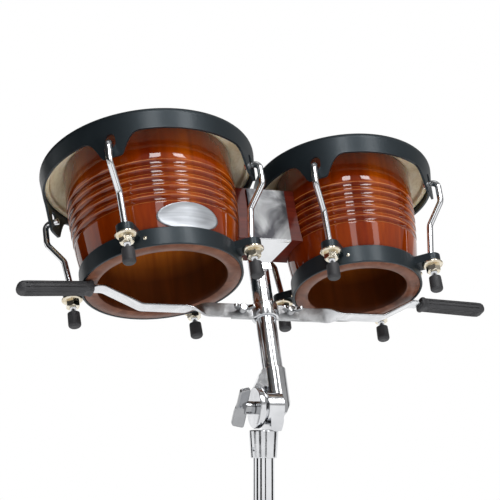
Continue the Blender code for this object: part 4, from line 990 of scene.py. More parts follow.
def dress_tripod():
    dress("leg_collar", leg_collar(), "cast_chrome", STAND @ shift(z=LEG_PIVOT_HEIGHT), 0.0007)
    dress("spider", spider(), "cast_chrome", STAND @ shift(z=SPIDER_REST), 0.0006)
    meshes = leg(), foot(), brace()
    for i, azimuth in enumerate(LEG_AZIMUTHS, start=1):
        pivot = STAND @ shift(z=LEG_PIVOT_HEIGHT) @ turn(azimuth, "Z")
        pivot = pivot @ shift(x=LEG_PIVOT_RADIUS) @ turn(-LEG_SPREAD, "Y")
        dress(f"leg_{i}", meshes[0], "chrome", pivot, 0.0005)
        dress(f"foot_{i}", meshes[1], "rubber", pivot)
        joint = pivot @ shift(z=-BRACE_LENGTH) @ turn(2 * LEG_SPREAD, "Y")
        dress(f"brace_{i}", meshes[2], "chrome", joint, 0.0007)


# Tilter


def set_screw(outer, direction, height):
    """The blind socket of a set screw."""
    return along(rod(SET_SCREW_RADIUS, outer - SET_SCREW_DEPTH, outer + OVERRUN, 20), direction, z=height)


def lower_tilter():
    """Socket, neck and the tongue that the fork holds."""
    socket = EXTENSION_RADIUS + FIT
    outer = socket + SOCKET_WALL
    flared = outer + LOWER_SOCKET_FLARE
    foot_level = -LOWER_SOCKET_TOP - HUB_EDGE
    body = turned(
        [
            (0, -LOWER_SOCKET_BOTTOM), (outer, -LOWER_SOCKET_BOTTOM), (flared, foot_level),
            (flared - HUB_EDGE, -LOWER_SOCKET_TOP), (0, -LOWER_SOCKET_TOP),
        ]
    )
    end = HUB_FACE + TONGUE_WIDTH
    tongue = along(plug(TONGUE_RADIUS, HUB_FACE, end, 0.0005, LATHE_SIDES), X_AXIS)
    shoulder = filleted(
        [
            (NECK_START, foot_level), (NECK_START, -TONGUE_RADIUS / 2), (end - FIT, -TONGUE_RADIUS / 4),
            (end - FIT, -TONGUE_RADIUS * 0.9), (flared - HUB_EDGE / 2, foot_level + HUB_EDGE),
            (flared - HUB_EDGE, foot_level),
        ],
        0.0022,
    )
    neck = extruded(shoulder, "Y", -NECK_HALF_WIDTH, NECK_HALF_WIDTH)
    channel = rod(socket, -LOWER_SOCKET_BOTTOM - OVERRUN, -LOWER_SOCKET_TOP - SOCKET_FLOOR, LATHE_SIDES)
    hole = along(rod(HINGE_BOLT_RADIUS + FIT, -OVERRUN, end + OVERRUN), X_AXIS)
    screw = set_screw(outer, LOWER_SCREW_SIDE, -LOWER_SOCKET_BOTTOM + 0.009)
    return cut(joined(body, tongue, neck), channel, hole, screw)


def upper_tilter():
    """Fork with a round disc on the left and a slanted cheek on the right, under the post's socket."""
    socket = POST_RADIUS + FIT
    outer = socket + SOCKET_WALL
    beyond = outer + OVERRUN
    left = HUB_FACE - FORK_WIDTH - POST_OFFSET
    inside = HUB_FACE - FIT - POST_OFFSET
    right = HUB_FACE + TONGUE_WIDTH + FIT - POST_OFFSET
    body = plug(outer, -CHEEK_LOW, UPPER_SOCKET_TOP, 0.0012, LATHE_SIDES)
    saddle = along(rod(TONGUE_RADIUS + FIT, left - OVERRUN, right, LATHE_SIDES), X_AXIS)
    below = box(left - OVERRUN, right, -beyond, beyond, -CHEEK_LOW - OVERRUN, 0)
    slant = [
        (CHEEK_TOE, -CHEEK_LOW), (CHEEK_TOE, -CHEEK_LOW - OVERRUN), (beyond, -CHEEK_LOW - OVERRUN),
        (beyond, CHEEK_SHOULDER), (outer, CHEEK_SHOULDER),
    ]
    body = cut(body, saddle, below, extruded(slant, "Y", -beyond, beyond))
    profile = [(0, left), (DISC_RADIUS, left), (DISC_RADIUS, left + DISC_WIDTH)]
    profile += [(TONGUE_RADIUS, inside), (0, inside)]
    disc = along(turned(profile, 0.0012), X_AXIS)
    back = -outer * 0.6
    gusset = filleted(
        [
            (left + HUB_EDGE, DISC_RADIUS / 2), (inside, DISC_RADIUS / 2), (inside, UPPER_SOCKET_BOTTOM),
            (back, UPPER_SOCKET_BOTTOM), (back, UPPER_SOCKET_TOP - HUB_EDGE),
            (-outer, UPPER_SOCKET_TOP - HUB_EDGE), (left + HUB_EDGE, DISC_RADIUS - HUB_EDGE),
        ],
        0.0020,
    )
    web = extruded(gusset, "Y", -WEB_HALF_WIDTH, WEB_HALF_WIDTH)
    for corner in web.vertices:
        corner.co.y *= 0.55 + 0.45 * (corner.co.x - left) / (back - left)
    channel = rod(socket, UPPER_SOCKET_BOTTOM + SOCKET_FLOOR, UPPER_SOCKET_TOP + OVERRUN, LATHE_SIDES)
    hole = along(rod(HINGE_BOLT_RADIUS + FIT, left - OVERRUN, beyond), X_AXIS)
    recess = along(rod(BOLT_HEAD_RADIUS + FIT, right + CHEEK_WALL, beyond), X_AXIS)
    screw = set_screw(outer, UPPER_SCREW_SIDE, UPPER_SOCKET_TOP - 0.008)
    return cut(joined(body, disc, web), channel, hole, recess, screw)


def tilter_bolt():
    head = HUB_FACE + TONGUE_WIDTH + FIT + CHEEK_WALL + FIT
    tip = HUB_FACE - FORK_WIDTH - HINGE_WING_FOOT
    end = head + BOLT_HEAD_HEIGHT
    profile = [(0, head), (BOLT_HEAD_RADIUS, head), (BOLT_HEAD_RADIUS * 0.8, end), (0, end)]
    cap = turned(profile, 0.0010, SMALL_SIDES)
    return along(joined(cap, threaded(HINGE_BOLT_RADIUS, tip, end - BOLT_HEAD_HEIGHT / 2)), X_AXIS)


def tilter_wing_nut():
    """Barrel with a broad bar whose two wings are canted a little, like a propeller."""
    half = HINGE_WING_SPAN / 2
    thick = HINGE_WING_THICKNESS / 2
    rings = []
    for reach in (-1.0, -0.97, -0.9, -0.5, -0.25, -0.1, 0.0, 0.1, 0.25, 0.5, 0.9, 0.97, 1.0):
        ease = {1.0: 0.35, 0.97: 0.12}.get(abs(reach), 0.0)
        low = HINGE_WING_FOOT + HINGE_WING_CORNER * ease
        high = HINGE_WING_DEPTH - HINGE_WING_CORNER * ease
        cant = HINGE_WING_CANT * max(-1.0, min(1.0, reach * 4))
        wide = thick * (1 - ease * 0.4)
        section = [(-wide + cant, low), (wide + cant, low), (wide - cant, high), (-wide - cant, high)]
        rings.append([(half * reach, y, z) for y, z in filleted(section, 0.0012)])
    nut = joined(plug(HINGE_WING_BARREL, 0, HINGE_WING_FOOT + 0.003, 0.0010), surface(rings, 50))
    dimple = moved(rod(0.0012, 0, OVERRUN, 20), shift(z=HINGE_WING_DEPTH - 0.0015))
    nut = cut(nut, rod(HINGE_BOLT_RADIUS + FIT, -OVERRUN, HINGE_WING_FOOT), dimple)
    return moved(nut, turn(-HINGE_WING_TURN, "Z"))


def dress_tilter():
    dress("lower_tilter", lower_tilter(), "cast_chrome", HINGE, 0.0008, 3)
    dress("upper_tilter", upper_tilter(), "cast_chrome", TILT, 0.0008, 3)
    dress("tilter_bolt", tilter_bolt(), "zinc", HINGE)
    seat = HINGE @ shift(x=HUB_FACE - FORK_WIDTH - FIT) @ turn(-pi / 2, "Y")
    dress("tilter_wing_nut", tilter_wing_nut(), "dull_casting", seat, 0.0006, 3)


# Post and bracket


def drum_level(height):
    return DRUMS_ABOVE_HINGE + height


def painted(mesh, *names):
    for name in names:
        mesh.materials.append(finishes[name])
    return mesh


def bracket_post():
    """Post, bent bracket plate and stud."""
    bottom = UPPER_SOCKET_BOTTOM + SOCKET_FLOOR + FIT
    post = tube(POST_RADIUS, POST_RADIUS - TUBE_WALL, bottom, drum_level(POST_TOP))
    middle = -DRUMS_FORWARD - BLOCK_HALF_DEPTH - FIT - PLATE_THICKNESS / 2
    weld = -POST_RADIUS + TUBE_WALL / 2
    bend_level = PLATE_BOTTOM - 0.002
    path = bent_path(
        [
            (middle, drum_level(PLATE_TOP)), (middle, drum_level(bend_level)),
            (weld, drum_level(TONGUE_REACH)), (weld, drum_level(TONGUE_END)),
        ],
        [PLATE_BEND, PLATE_BEND],
    )
    tongue_half = POST_RADIUS * 0.9
    rings = []
    for (y, z), run in zip(path, runs(path)):
        out = Vector((0, run.y, -run.x)) * PLATE_THICKNESS / 2
        share = share_between(z, drum_level(TONGUE_REACH), drum_level(bend_level))
        half = tongue_half + (PLATE_WIDTH / 2 - tongue_half) * share
        ring = []
        for side, face in ((-1, -1), (1, -1), (1, 1), (-1, 1)):
            ring.append(Vector((BRACKET_CENTRE * share + side * half, y, z)) + face * out)
        rings.append(ring)
    stud = rod(STUD_RADIUS, middle, STUD_END - DRUMS_FORWARD)
    stud = along(stud, Y_AXIS, BRACKET_CENTRE, drum_level(STUD_HEIGHT))
    mesh = painted(joined(post, surface(rings), stud), "post_chrome", "plate")
    for face in mesh.polygons:
        face.material_index = int(face.center.z > drum_level(PLATE_BOTTOM - 0.001))
    return mesh


def dress_bracket():
    dress("bracket_post", bracket_post(), "chrome", TILT, 0.0006, 3)
    washer = plug(WASHER_RADIUS, 0, WASHER_THICKNESS, 0.0005)
    hole = rod(STUD_RADIUS + FIT, -OVERRUN, BRACKET_WING[1] + OVERRUN)
    nut = cut(joined(washer, wing_head(*BRACKET_WING)), hole)
    seat = shift(BRACKET_CENTRE, BLOCK_HALF_DEPTH + FIT - DRUMS_FORWARD, drum_level(STUD_HEIGHT))
    dress("bracket_wing_nut", nut, "zinc", TILT @ seat @ turn(-pi / 2, "X"), 0.0008)


# Padded arms


def arm_height(reach):
    return ARM_DROP + ARM_RISE_HEIGHT - (reach - ARM_RISE_END) * tan(ARM_DROOP)


def arm_wrap():
    """Middle line of the strap from its ear, round the front of the post, in plan."""
    wrap = POST_RADIUS + SLIDE + ARM_THICKNESS / 2
    fillet_y = -STRAP_OFFSET - ARM_FILLET
    fillet_x = sqrt((wrap + ARM_FILLET) ** 2 - fillet_y**2)
    lean = atan2(-fillet_y, fillet_x)
    right = arc((fillet_x, fillet_y), ARM_FILLET, pi / 2, pi - lean, 8)
    front = arc((0, 0), wrap, -lean, lean - pi, 32)[1:-1]
    left = [(-x, y) for x, y in reversed(right)]
    return [(ARM_EAR, -STRAP_OFFSET)] + right + front + left + [(-ARM_TWIST_START, -STRAP_OFFSET)]


def strap_ring(centre, over, flat, width):
    """Section of a strap with rounded edges."""
    return [centre + over * u + flat * v for u, v in soft_rectangle(width / 2, ARM_THICKNESS / 2, 0.0009, 2)]


def arm():
    """One strap: ear, half loop round the post, upright run, quarter twist, rise and tongue, to -X."""
    up = Vector((0, 0, 1))
    plan = [(x, y, 0) for x, y in arm_wrap()]
    rings = [strap_ring(Vector(point), up, run.cross(up), ARM_WIDTH) for point, run in zip(plan, runs(plan))]
    for i in range(1, TWIST_STEPS + 1):
        share = i / TWIST_STEPS
        angle = pi / 2 * share * share * (3 - 2 * share)
        x = -ARM_TWIST_START - (ARM_TWIST_END - ARM_TWIST_START) * share
        over = Vector((0, sin(angle), cos(angle)))
        flat = Vector((0, cos(angle), -sin(angle)))
        rings.append(strap_ring(Vector((x, -STRAP_OFFSET, 0)), over, flat, ARM_WIDTH))
    tongue_end = GRIP_START + ARM_TONGUE_LENGTH
    corners = [(ARM_TWIST_END, 0), (ARM_RISE_START, 0)]
    corners += [(reach, arm_height(reach)) for reach in (ARM_RISE_END, tongue_end)]
    side = bent_path(corners, [ARM_BEND, ARM_BEND])[1:-1]
    side += [(reach, arm_height(reach)) for reach in (GRIP_START - 0.003, GRIP_START, tongue_end)]
    over = Vector(Y_AXIS)
    for (reach, height), run in zip(side, runs(side)):
        flat = Vector((-run.x, 0, run.y)).cross(over)
        width = ARM_TONGUE_WIDTH if reach >= GRIP_START else ARM_WIDTH
        rings.append(strap_ring(Vector((-reach, -STRAP_OFFSET, height)), over, flat, width))
    holes = [cross_hole(ARM_SCREW_RADIUS, x) for x in (-ARM_SCREW_REACH, ARM_SCREW_REACH)]
    strap = cut(surface(rings, 25), *holes)
    strap.set_sharp_from_angle(angle=radians(25))
    return strap


def arm_grip():
    """Moulded rubber sleeve with a rolled mouth, a rounded end and shallow grooves along its faces."""
    rows = [(0, 0.0016), (0.0006, 0.0005), (0.002, 0), (0.0042, 0), (0.0052, 0.0006), (0.0075, 0.0007)]
    tip = [(-0.010, 0.0004), (-0.005, 0.0006), (-0.0022, 0.0016), (-0.0006, 0.0032), (0, 0.0048)]
    rows += near_to(GRIP_LENGTH, 0, tip)
    rings = []
    for run, inset in rows:
        outline = soft_rectangle(GRIP_WIDTH / 2 - inset, GRIP_THICKNESS / 2 - inset, 0.0040, 6)
        rings.append([(-run, y, z) for y, z in outline])

    def groove(middle, side, floor):
        """The ranges of a groove across its run, and from its floor outwards."""
        across = (middle - GROOVE_HALF_WIDTH, middle + GROOVE_HALF_WIDTH)
        return across, sorted((side * floor, side * (floor + GROOVE_REACH)))

    grooves = []
    for y in (-0.0045, -0.0015, 0.0015, 0.0045):
        for side in (-1, 1):
            across, deep = groove(y, side, GRIP_THICKNESS / 2 - GROOVE_DEPTH)
            grooves.append(box(*GROOVE_RUN, *across, *deep))
    for z in (-0.002, 0.002):
        for side in (-1, 1):
            across, deep = groove(z, side, GRIP_WIDTH / 2 - SIDE_GROOVE_DEPTH)
            grooves.append(box(*GROOVE_RUN, *deep, *across))
    half = ARM_TONGUE_WIDTH / 2 + FIT
    thick = ARM_THICKNESS / 2 + FIT
    pocket = box(-ARM_TONGUE_LENGTH - 2 * FIT, OVERRUN, -half, half, -thick, thick)
    return cut(surface(rings, 50), *grooves, pocket)


def dress_arms():
    clamp = TILT @ shift(z=drum_level(-ARM_DROP))
    arm_mesh = arm()
    grip_mesh = arm_grip()
    screw_mesh = wing_bolt(ARM_WING, ARM_SCREW_RADIUS, -2 * ARM_THICKNESS - 0.003, 0.001)
    seat = -STRAP_OFFSET - ARM_THICKNESS / 2 - FIT
    sleeve = shift(-GRIP_START - FIT, -STRAP_OFFSET, arm_height(GRIP_START + FIT)) @ turn(-ARM_DROOP, "Y")
    for name, angle, side in (("left", 0, -1), ("right", pi, 1)):
        facing = clamp @ turn(angle, "Z")
        dress(f"arm_{name}", arm_mesh, "satin", facing)
        dress(f"arm_grip_{name}", grip_mesh, "rubber", facing @ sleeve, 0.0003)
        place = clamp @ shift(side * ARM_SCREW_REACH, seat) @ turn(pi / 2, "X")
        dress(f"arm_wing_screw_{name}", screw_mesh, "dull_casting", place, 0.0007)


# Drums


class Drum:
    def __init__(self, name, side, bottom_radius, top_radius, lug_angle):
        self.name = name
        self.bottom = bottom_radius
        self.top = top_radius
        self.rim = top_radius + HEAD_OVERHANG
        self.foot = self.rim - RIM_FLARE
        self.lug_radius = bottom_radius + LUG_OUT
        self.lug_angles = [lug_angle + 2 * pi * i / LUGS for i in range(LUGS)]
        self.place = PAIR @ shift(x=side * DRUM_SPACING / 2) @ turn(side * SPLAY, "Y")

    def outer(self, height):
        """Radius of the shell at a height, without its coves."""
        share = share_between(height, RING_HEIGHT, FLARE_TOP)
        return self.bottom + (self.top - self.bottom) * sin(share * pi / 2)


def shell(drum):
    """Turned shell with shallow coves between narrow beads."""
    first = COVE_START - COVE_PITCH / 2
    levels = [(RING_HEIGHT + (first - RING_HEIGHT) * i / 10, 0) for i in range(11)]
    for i in range(COVE_COUNT):
        for k in range(-COVE_STEPS, COVE_STEPS + 1):
            share = k / COVE_STEPS
            level = COVE_START + i * COVE_PITCH + share * COVE_HALF_WIDTH
            levels.append((level, COVE_DEPTH * (1 - abs(share) ** 2.6)))
    outline = [(drum.bottom - 0.0008, 0), (drum.bottom, 0.0008)]
    outline += [(drum.outer(z) - depth, z) for z, depth in levels]
    edge = [(0, -0.003), (-0.0008, -0.0008), (-0.003, 0), (-EDGE_WIDTH, 0), (0.001 - SHELL_WALL, -0.010)]
    outline += [(drum.top, FLARE_TOP + 0.001)] + near_to(drum.top, SHELL_HEIGHT, edge)
    for i in range(INSIDE_STEPS + 1):
        share = i / INSIDE_STEPS
        z = FLARE_TOP * (1 - share) + 0.0012 * share
        outline.append((drum.top - SHELL_WALL - (drum.top - drum.bottom) * share, z))
    outline.append((drum.bottom - SHELL_WALL + 0.0012, 0))
    mesh = painted(lathe(outline, SHELL_SIDES, 55), "lacquered_wood", "inside", "end_grain")
    for face in mesh.polygons:
        if face.center.z < 0.001:
            face.material_index = 2
        elif face.center.xy.length < drum.outer(face.center.z) - SHELL_WALL / 3:
            face.material_index = 1
    return mesh


def head(drum):
    """Skin drawn over the bearing edge and down to its flesh hoop."""
    top = HEAD_HEIGHT
    under = HEAD_HEIGHT - SKIN_THICKNESS
    hoop_low = under - HOOP_DROP
    hoop_top = hoop_low + HOOP_HEIGHT
    share = (hoop_low - RIM_BOTTOM) / (RIM_WIDEST - RIM_BOTTOM)
    outer = drum.rim - RIM_FLARE * (1 - share) - RIM_THICKNESS - SLIDE
    inner = outer - HOOP_WIDTH
    profile = [(0, top)] + near_to(drum.top, top, [(-0.010, 0), (0.001, -0.0003), (0.004, -0.002)])
    profile += [(inner + 0.001, hoop_top + 0.0015), (outer, hoop_top - 0.001), (outer, hoop_low)]
    profile += [(inner, hoop_low), (inner - 0.001, hoop_top)]
    profile += near_to(drum.top, under, [(FIT + 0.0006, -0.0012), (-0.001, 0)]) + [(0, under)]
    return turned(profile, 0.0022, 128, 60)


def rim(drum):
    """One pressed band with a rolled top, whose lower edge runs down into four ears."""
    skirt_end = EAR_TIP - 0.001
    inner = drum.foot - RIM_THICKNESS
    roll = [(-0.0008, -0.0025), (-0.0045, 0), (-0.0085, -0.0008), (-0.0095, -0.0027)]
    roll += [(-0.0070, -RIM_THICKNESS - 0.0004), (-0.0040, -RIM_THICKNESS - 0.0006)]
    outline = [(drum.foot, skirt_end), (drum.foot, RIM_BOTTOM), (drum.rim, RIM_WIDEST)]
    outline += near_to(drum.rim, RIM_TOP, roll)
    outline += [(drum.rim - RIM_THICKNESS, RIM_WIDEST), (inner, RIM_BOTTOM), (inner, skirt_end)]
    outline = filleted(outline, 0.0024, steps=5)
    skirt = lathe([(max(min(r, drum.rim), inner), z) for r, z in outline], RIM_SIDES, 60)
    ear_half = EAR_EDGE[0][0] / drum.foot
    gap = 2 * pi / LUGS - 2 * ear_half
    stops = []
    for angle in drum.lug_angles:
        stops += [(angle - s / drum.foot, z) for s, z in EAR_EDGE]
        stops += [(angle + s / drum.foot, z) for s, z in reversed(EAR_EDGE)]
        stops += [(angle + ear_half + gap * k / GAP_STEPS, RIM_BOTTOM) for k in range(1, GAP_STEPS)]
    near = drum.foot - OVERRUN
    far = drum.foot + OVERRUN
    low = EAR_TIP - OVERRUN
    rings = []
    for angle, height in stops:
        section = rectangle(near, far, low, height)
        rings.append([(radius * cos(angle), radius * sin(angle), z) for radius, z in section])
    band = cut(skirt, surface(rings, closed=True))
    half = EAR_HOLE_WIDTH / 2
    slot = stadium(EAR_HOLE_WIDTH, EAR_HOLE_TOP - half, HOOK_HEIGHT - ROD_RADIUS - SLIDE + half)
    return cut(band, *[moved(extruded(slot, "X", near, far), turn(angle, "Z")) for angle in drum.lug_angles])


def bottom_ring(drum):
    """Steel ring with four lugs for the rods."""
    band = tube(drum.bottom + FIT + RING_THICKNESS, drum.bottom + FIT, 0, RING_HEIGHT, 0.0009)
    root = drum.bottom + RING_THICKNESS * 0.6
    outline = arc((drum.lug_radius, 0), RING_LUG_HALF, -pi / 2, pi / 2, 16)
    outline = [(root, -RING_LUG_HALF)] + outline + [(root, RING_LUG_HALF)]
    for angle in drum.lug_angles:
        lug = extruded(outline, "Z", RING_LUG_BOTTOM, RING_HEIGHT)
        hole = moved(rod(ROD_RADIUS + SLIDE, 0, RING_HEIGHT + OVERRUN), shift(drum.lug_radius))
        band = joined(band, moved(cut(lug, hole), turn(angle, "Z")))
    return band


def rod_mesh(drum):
    """Tuning rod from its hook in the ear, out round the rim's edge and down through the ring's lug."""
    bow = drum.rim + ROD_BOW
    path = bent_path(
        [
            (drum.rim - HOOK_INSIDE, HOOK_HEIGHT), (bow, HOOK_HEIGHT), (bow, ROD_BOW_BOTTOM),
            (drum.lug_radius + ROD_KNEE_OUT, ROD_KNEE_HEIGHT), (drum.lug_radius, RING_HEIGHT + ROD_RADIUS),
            (drum.lug_radius, 0.0),
        ],
        [HOOK_BEND, ROD_BEND, ROD_BEND, ROD_BEND],
    )
    x, z = path[0]
    path[:1] = [(x, z), (x + 0.0002, z), (x + 0.0008, z)]
    radii = [ROD_RADIUS * 0.55, ROD_RADIUS * 0.85] + [ROD_RADIUS] * (len(path) - 2)
    thread = moved(threaded(ROD_RADIUS, -ROD_END, 0.0004), shift(drum.lug_radius))
    return joined(swept(path, radii), thread)


def tuning_nut():
    """Hexagon nut on a broad washer face, its face at 0 and the rest below."""
    profile = [(0, 0), (NUT_FLANGE_RADIUS, 0), (NUT_FLANGE_RADIUS, -NUT_FLANGE_HEIGHT * 0.6)]
    profile += [(NUT_FLANGE_RADIUS - 0.0016, -NUT_FLANGE_HEIGHT), (0, -NUT_FLANGE_HEIGHT)]
    flange = turned(profile, 0.0006, 64)
    corners = arc((0, 0), NUT_HEX_RADIUS, 0, 2 * pi, 6)[:-1]
    prism = extruded(corners, "Z", -NUT_HEIGHT, -NUT_FLANGE_HEIGHT / 2)
    profile = [(0, 0), (NUT_HEX_RADIUS * 1.1, 0), (NUT_HEX_RADIUS * 1.1, -NUT_HEIGHT + 0.0016)]
    cone = turned(profile + [(NUT_HEX_RADIUS * 0.84, -NUT_HEIGHT), (0, -NUT_HEIGHT)], 0.0004, 64)
    prism = boolean(prism, cone, "INTERSECT")
    return cut(joined(flange, prism), rod(ROD_RADIUS + FIT, -NUT_HEIGHT - OVERRUN, OVERRUN))


def rod_cap():
    """Rubber tip with a rolled mouth and a domed end."""
    hole = ROD_RADIUS + FIT
    depth = ROD_END - CAP_TOP + FIT
    profile = [(0, -depth), (hole, -depth), (hole, 0), (CAP_RADIUS - 0.0004, 0), (CAP_RADIUS - 0.0002, -0.004)]
    profile += arc((CAP_RADIUS - CAP_DOME, -CAP_LENGTH + CAP_DOME), CAP_DOME, 0, -pi / 2, 6)
    return turned(profile + [(0, -CAP_LENGTH)], 0.0005, SMALL_SIDES, 60)


def center_block(drums):
    reach = DRUM_SPACING / 2 - SMALL_TOP_RADIUS + 2 * OVERRUN
    block = box(-reach, reach, -BLOCK_HALF_DEPTH, BLOCK_HALF_DEPTH, PLATE_BOTTOM, BLOCK_TOP)
    for drum in drums:
        levels = [RING_HEIGHT + (FLARE_TOP - RING_HEIGHT) * i / 16 for i in range(17)]
        outline = [(0, 0), (drum.bottom + FIT, 0)] + [(drum.outer(z) + 2 * FIT, z) for z in levels]
        outline += [(drum.top + 2 * FIT, BLOCK_TOP + OVERRUN), (0, BLOCK_TOP + OVERRUN)]
        block = cut(block, moved(lathe(outline, 128), PAIR.inverted() @ drum.place))
    return cut(block, cross_hole(STUD_RADIUS, BRACKET_CENTRE, STUD_HEIGHT, BLOCK_HALF_DEPTH + OVERRUN))


def badge(drum):
    """A bare oval plate with a raised border, bent round the shell's front."""
    lip = BADGE_THICKNESS + 0.0003
    levels = [(1.0, 0.0), (1.0, BADGE_THICKNESS), (0.97, lip), (0.94, lip)]
    levels += [(share, BADGE_THICKNESS) for share in (0.91, 0.6, 0.3, 0.02)]
    rings = []
    for share, lift in levels:
        ring = []
        for x, y, _ in circle(share, 0, BADGE_SIDES):
            height = BADGE_HEIGHT + BADGE_HALF_HEIGHT * y
            radius = drum.outer(height) + lift + FIT
            where = BADGE_AZIMUTH + BADGE_HALF_WIDTH * x / radius
            ring.append((radius * cos(where), radius * sin(where), height))
        rings.append(ring)
    add_piece("badge_plate", surface(rings, 60), "badge_plate", drum.place, BODY_OF_NODE[f"{drum.name}_shell"])


def ring_rivets(drum):
    """A small domed rivet on the ring beside each lug."""
    face = drum.bottom + FIT + RING_THICKNESS
    step = (RING_LUG_HALF + 2 * RING_RIVET_RADIUS) / face
    sunk = face - RING_THICKNESS / 2
    rivets = bmesh.new()
    for angle in drum.lug_angles:
        rivet = rivet_head(RING_RIVET_RADIUS, sunk, face, face + 0.0013, face + 0.0015, 0.0003, 24)
        rivets.from_mesh(moved(along(rivet, X_AXIS, z=RING_HEIGHT / 2), turn(angle + step, "Z")))
    name = f"{drum.name}_ring"
    add_piece(f"{name}_rivets", finished(rivets), "zinc", drum.place, BODY_OF_NODE[name])


def dress_drum(drum, nut_mesh, cap_mesh):
    name = drum.name
    dress(f"{name}_shell", shell(drum), "lacquered_wood", drum.place)
    dress(f"{name}_head", head(drum), "skin", drum.place)
    dress(f"{name}_rim", rim(drum), "black_steel", drum.place, 0.0006, 3)
    dress(f"{name}_ring", bottom_ring(drum), "black_steel", drum.place, 0.0006)
    ring_rivets(drum)
    bar = rod_mesh(drum)
    for i, angle in enumerate(drum.lug_angles, start=1):
        dress(f"{name}_rod_{i}", bar, "chrome", drum.place @ turn(angle, "Z"))
        axis = drum.place @ shift(drum.lug_radius * cos(angle), drum.lug_radius * sin(angle))
        seat = axis @ shift(z=RING_LUG_BOTTOM - FIT) @ turn(angle, "Z")
        dress(f"{name}_nut_{i}", nut_mesh, "zinc", seat, 0.0003)
        dress(f"{name}_cap_{i}", cap_mesh, "rubber", axis @ shift(z=-CAP_TOP))


def dress_drums():
    drums = [
        Drum("large", -1, LARGE_BOTTOM_RADIUS, LARGE_TOP_RADIUS, LARGE_LUG_ANGLE),
        Drum("small", 1, SMALL_BOTTOM_RADIUS, SMALL_TOP_RADIUS, SMALL_LUG_ANGLE),
    ]
    dress("center_block", center_block(drums), "block_wood", PAIR, 0.0012, 3)
    nut_mesh = tuning_nut()
    cap_mesh = rod_cap()
    for drum in drums:
        dress_drum(drum, nut_mesh, cap_mesh)
    badge(drums[0])


# Studio


def add_camera():
    data = bpy.data.cameras.new("camera")
    data.lens = CAMERA_LENS
    data.sensor_width = CAMERA_SENSOR
    camera = linked("camera", data)
    camera.location = CAMERA_PLACE
    camera.rotation_euler = CAMERA_AIM.to_track_quat("-Z", "Y").to_euler()
    bpy.context.scene.camera = camera


def aim(piece, azimuth, elevation, distance):
    """Faces a lamp or card to the drums; azimuth 0 is the camera's side and grows to the right."""
    flat = Matrix.Rotation(radians(azimuth), 2) @ -CAMERA_AIM.xy.normalized()
    level = cos(radians(elevation))
    direction = Vector((flat.x * level, flat.y * level, sin(radians(elevation))))
    piece.location = PAIR.translation + direction * distance
    piece.rotation_euler = direction.to_track_quat("Z", "Y").to_euler()


def add_lamp(name, azimuth, elevation, distance, width, height, power, glossy):
    data = bpy.data.lights.new(name, "AREA")
    data.shape = "RECTANGLE"
    data.size = width
    data.size_y = height
    data.energy = power
    lamp = linked(name, data)
    aim(lamp, azimuth, elevation, distance)
    lamp.visible_camera = False
    lamp.visible_glossy = glossy
    if not glossy:
        data.spread = FILL_SPREAD


def sheet(segments, size):
    bm = bmesh.new()
    bmesh.ops.create_grid(bm, x_segments=segments, y_segments=segments, size=size)
    return finished(bm)


def show_to_gloss_only(card):
    card.visible_camera = False
    card.visible_diffuse = False
    card.visible_shadow = False
    card.visible_transmission = False


def add_flag(name, azimuth, elevation, distance, width, height):
    """A black card that only glossy reflections see, as a studio uses for dark edges on chrome."""
    card = linked(name, painted(sheet(1, 0.5), "flag"))
    aim(card, azimuth, elevation, distance)
    card.scale = (width, height, 1)
    show_to_gloss_only(card)


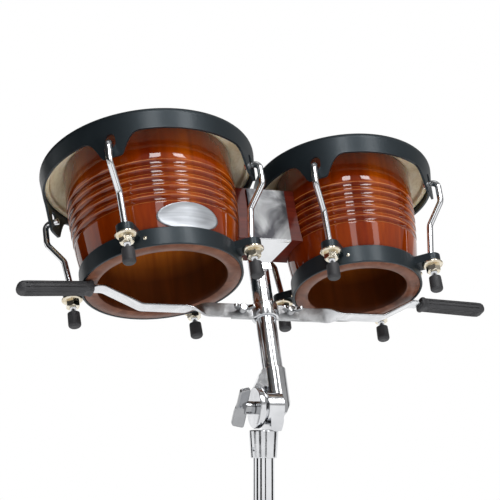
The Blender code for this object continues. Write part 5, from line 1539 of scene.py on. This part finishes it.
def add_canopy():
    """A grey ceiling over the set that only glossy reflections see, darker to the left."""
    rings = [circle(CANOPY_RADIUS * cos(e), CANOPY_RADIUS * sin(e), CANOPY_SIDES) for e in CANOPY_ELEVATIONS]
    finish = Finish("canopy_cloth", Roughness=1.0, Specular_IOR_Level=0.0, Base_Color=0, Emission_Strength=1.0)
    finish.set(Emission_Color=finish.ramp(finish.span("X", -CANOPY_RADIUS, CANOPY_RADIUS), CANOPY_TONES))
    mesh = surface(rings, capped=False)
    mesh.materials.append(finish.material)
    canopy = linked("canopy", mesh)
    canopy.location = PAIR.translation
    canopy.rotation_euler.z = atan2(CAMERA_AIM.y, CAMERA_AIM.x) - pi / 2
    show_to_gloss_only(canopy)


def add_floor():
    """A light grey floor that glows where the camera or gloss looks."""
    finish = Finish("studio_floor", Roughness=0.7)
    finish.set(Base_Color=finish.ramp(finish.texture(2, 3), both(0.84, 0.88)))
    rays = finish.node("LightPath").outputs
    inputs = {0: rays["Is Camera Ray"], 1: FLOOR_GLOW, 2: rays["Is Glossy Ray"]}
    seen = finish.node("Math", inputs, "MULTIPLY_ADD").outputs[0]
    white = finish.node("Emission").outputs[0]
    mix = finish.node("MixShader", {"Fac": seen, 1: finish.shader.outputs[0], 2: white})
    fill(finish.tree, finish.tree.nodes["Material Output"], {"Surface": mix.outputs[0]})
    mesh = sheet(2, FLOOR_HALF)
    mesh.materials.append(finish.material)
    floor = linked("floor", mesh)
    floor.location.z = FLOOR_LEVEL


def add_world():
    """White wherever the camera, gloss or glass looks; softer as a light."""
    world = bpy.data.worlds.new("studio")
    world.use_nodes = True
    tree = world.node_tree
    tree.nodes.clear()
    rays = add_node(tree, "LightPath").outputs
    seen = rays["Is Camera Ray"]
    for ray in ("Is Glossy Ray", "Is Transmission Ray"):
        seen = add_node(tree, "Math", {0: seen, 1: rays[ray]}, "MAXIMUM").outputs[0]
    soft = add_node(tree, "Background", {"Color": SKY_TONE, "Strength": SKY_STRENGTH})
    white = add_node(tree, "Background", {"Color": 1, "Strength": 1.0})
    mix = add_node(tree, "MixShader", {"Fac": seen, 1: soft.outputs[0], 2: white.outputs[0]})
    add_node(tree, "OutputWorld", {"Surface": mix.outputs[0]})
    bpy.context.scene.world = world


add_camera()
add_world()
add_floor()
for lamp in LAMPS:
    add_lamp(*lamp)
add_canopy()
for flag in FLAGS:
    add_flag(*flag)
bpy.context.scene.view_settings.view_transform = "Standard"

dress_column()
dress_tripod()
dress_tilter()
dress_bracket()
dress_arms()
dress_drums()
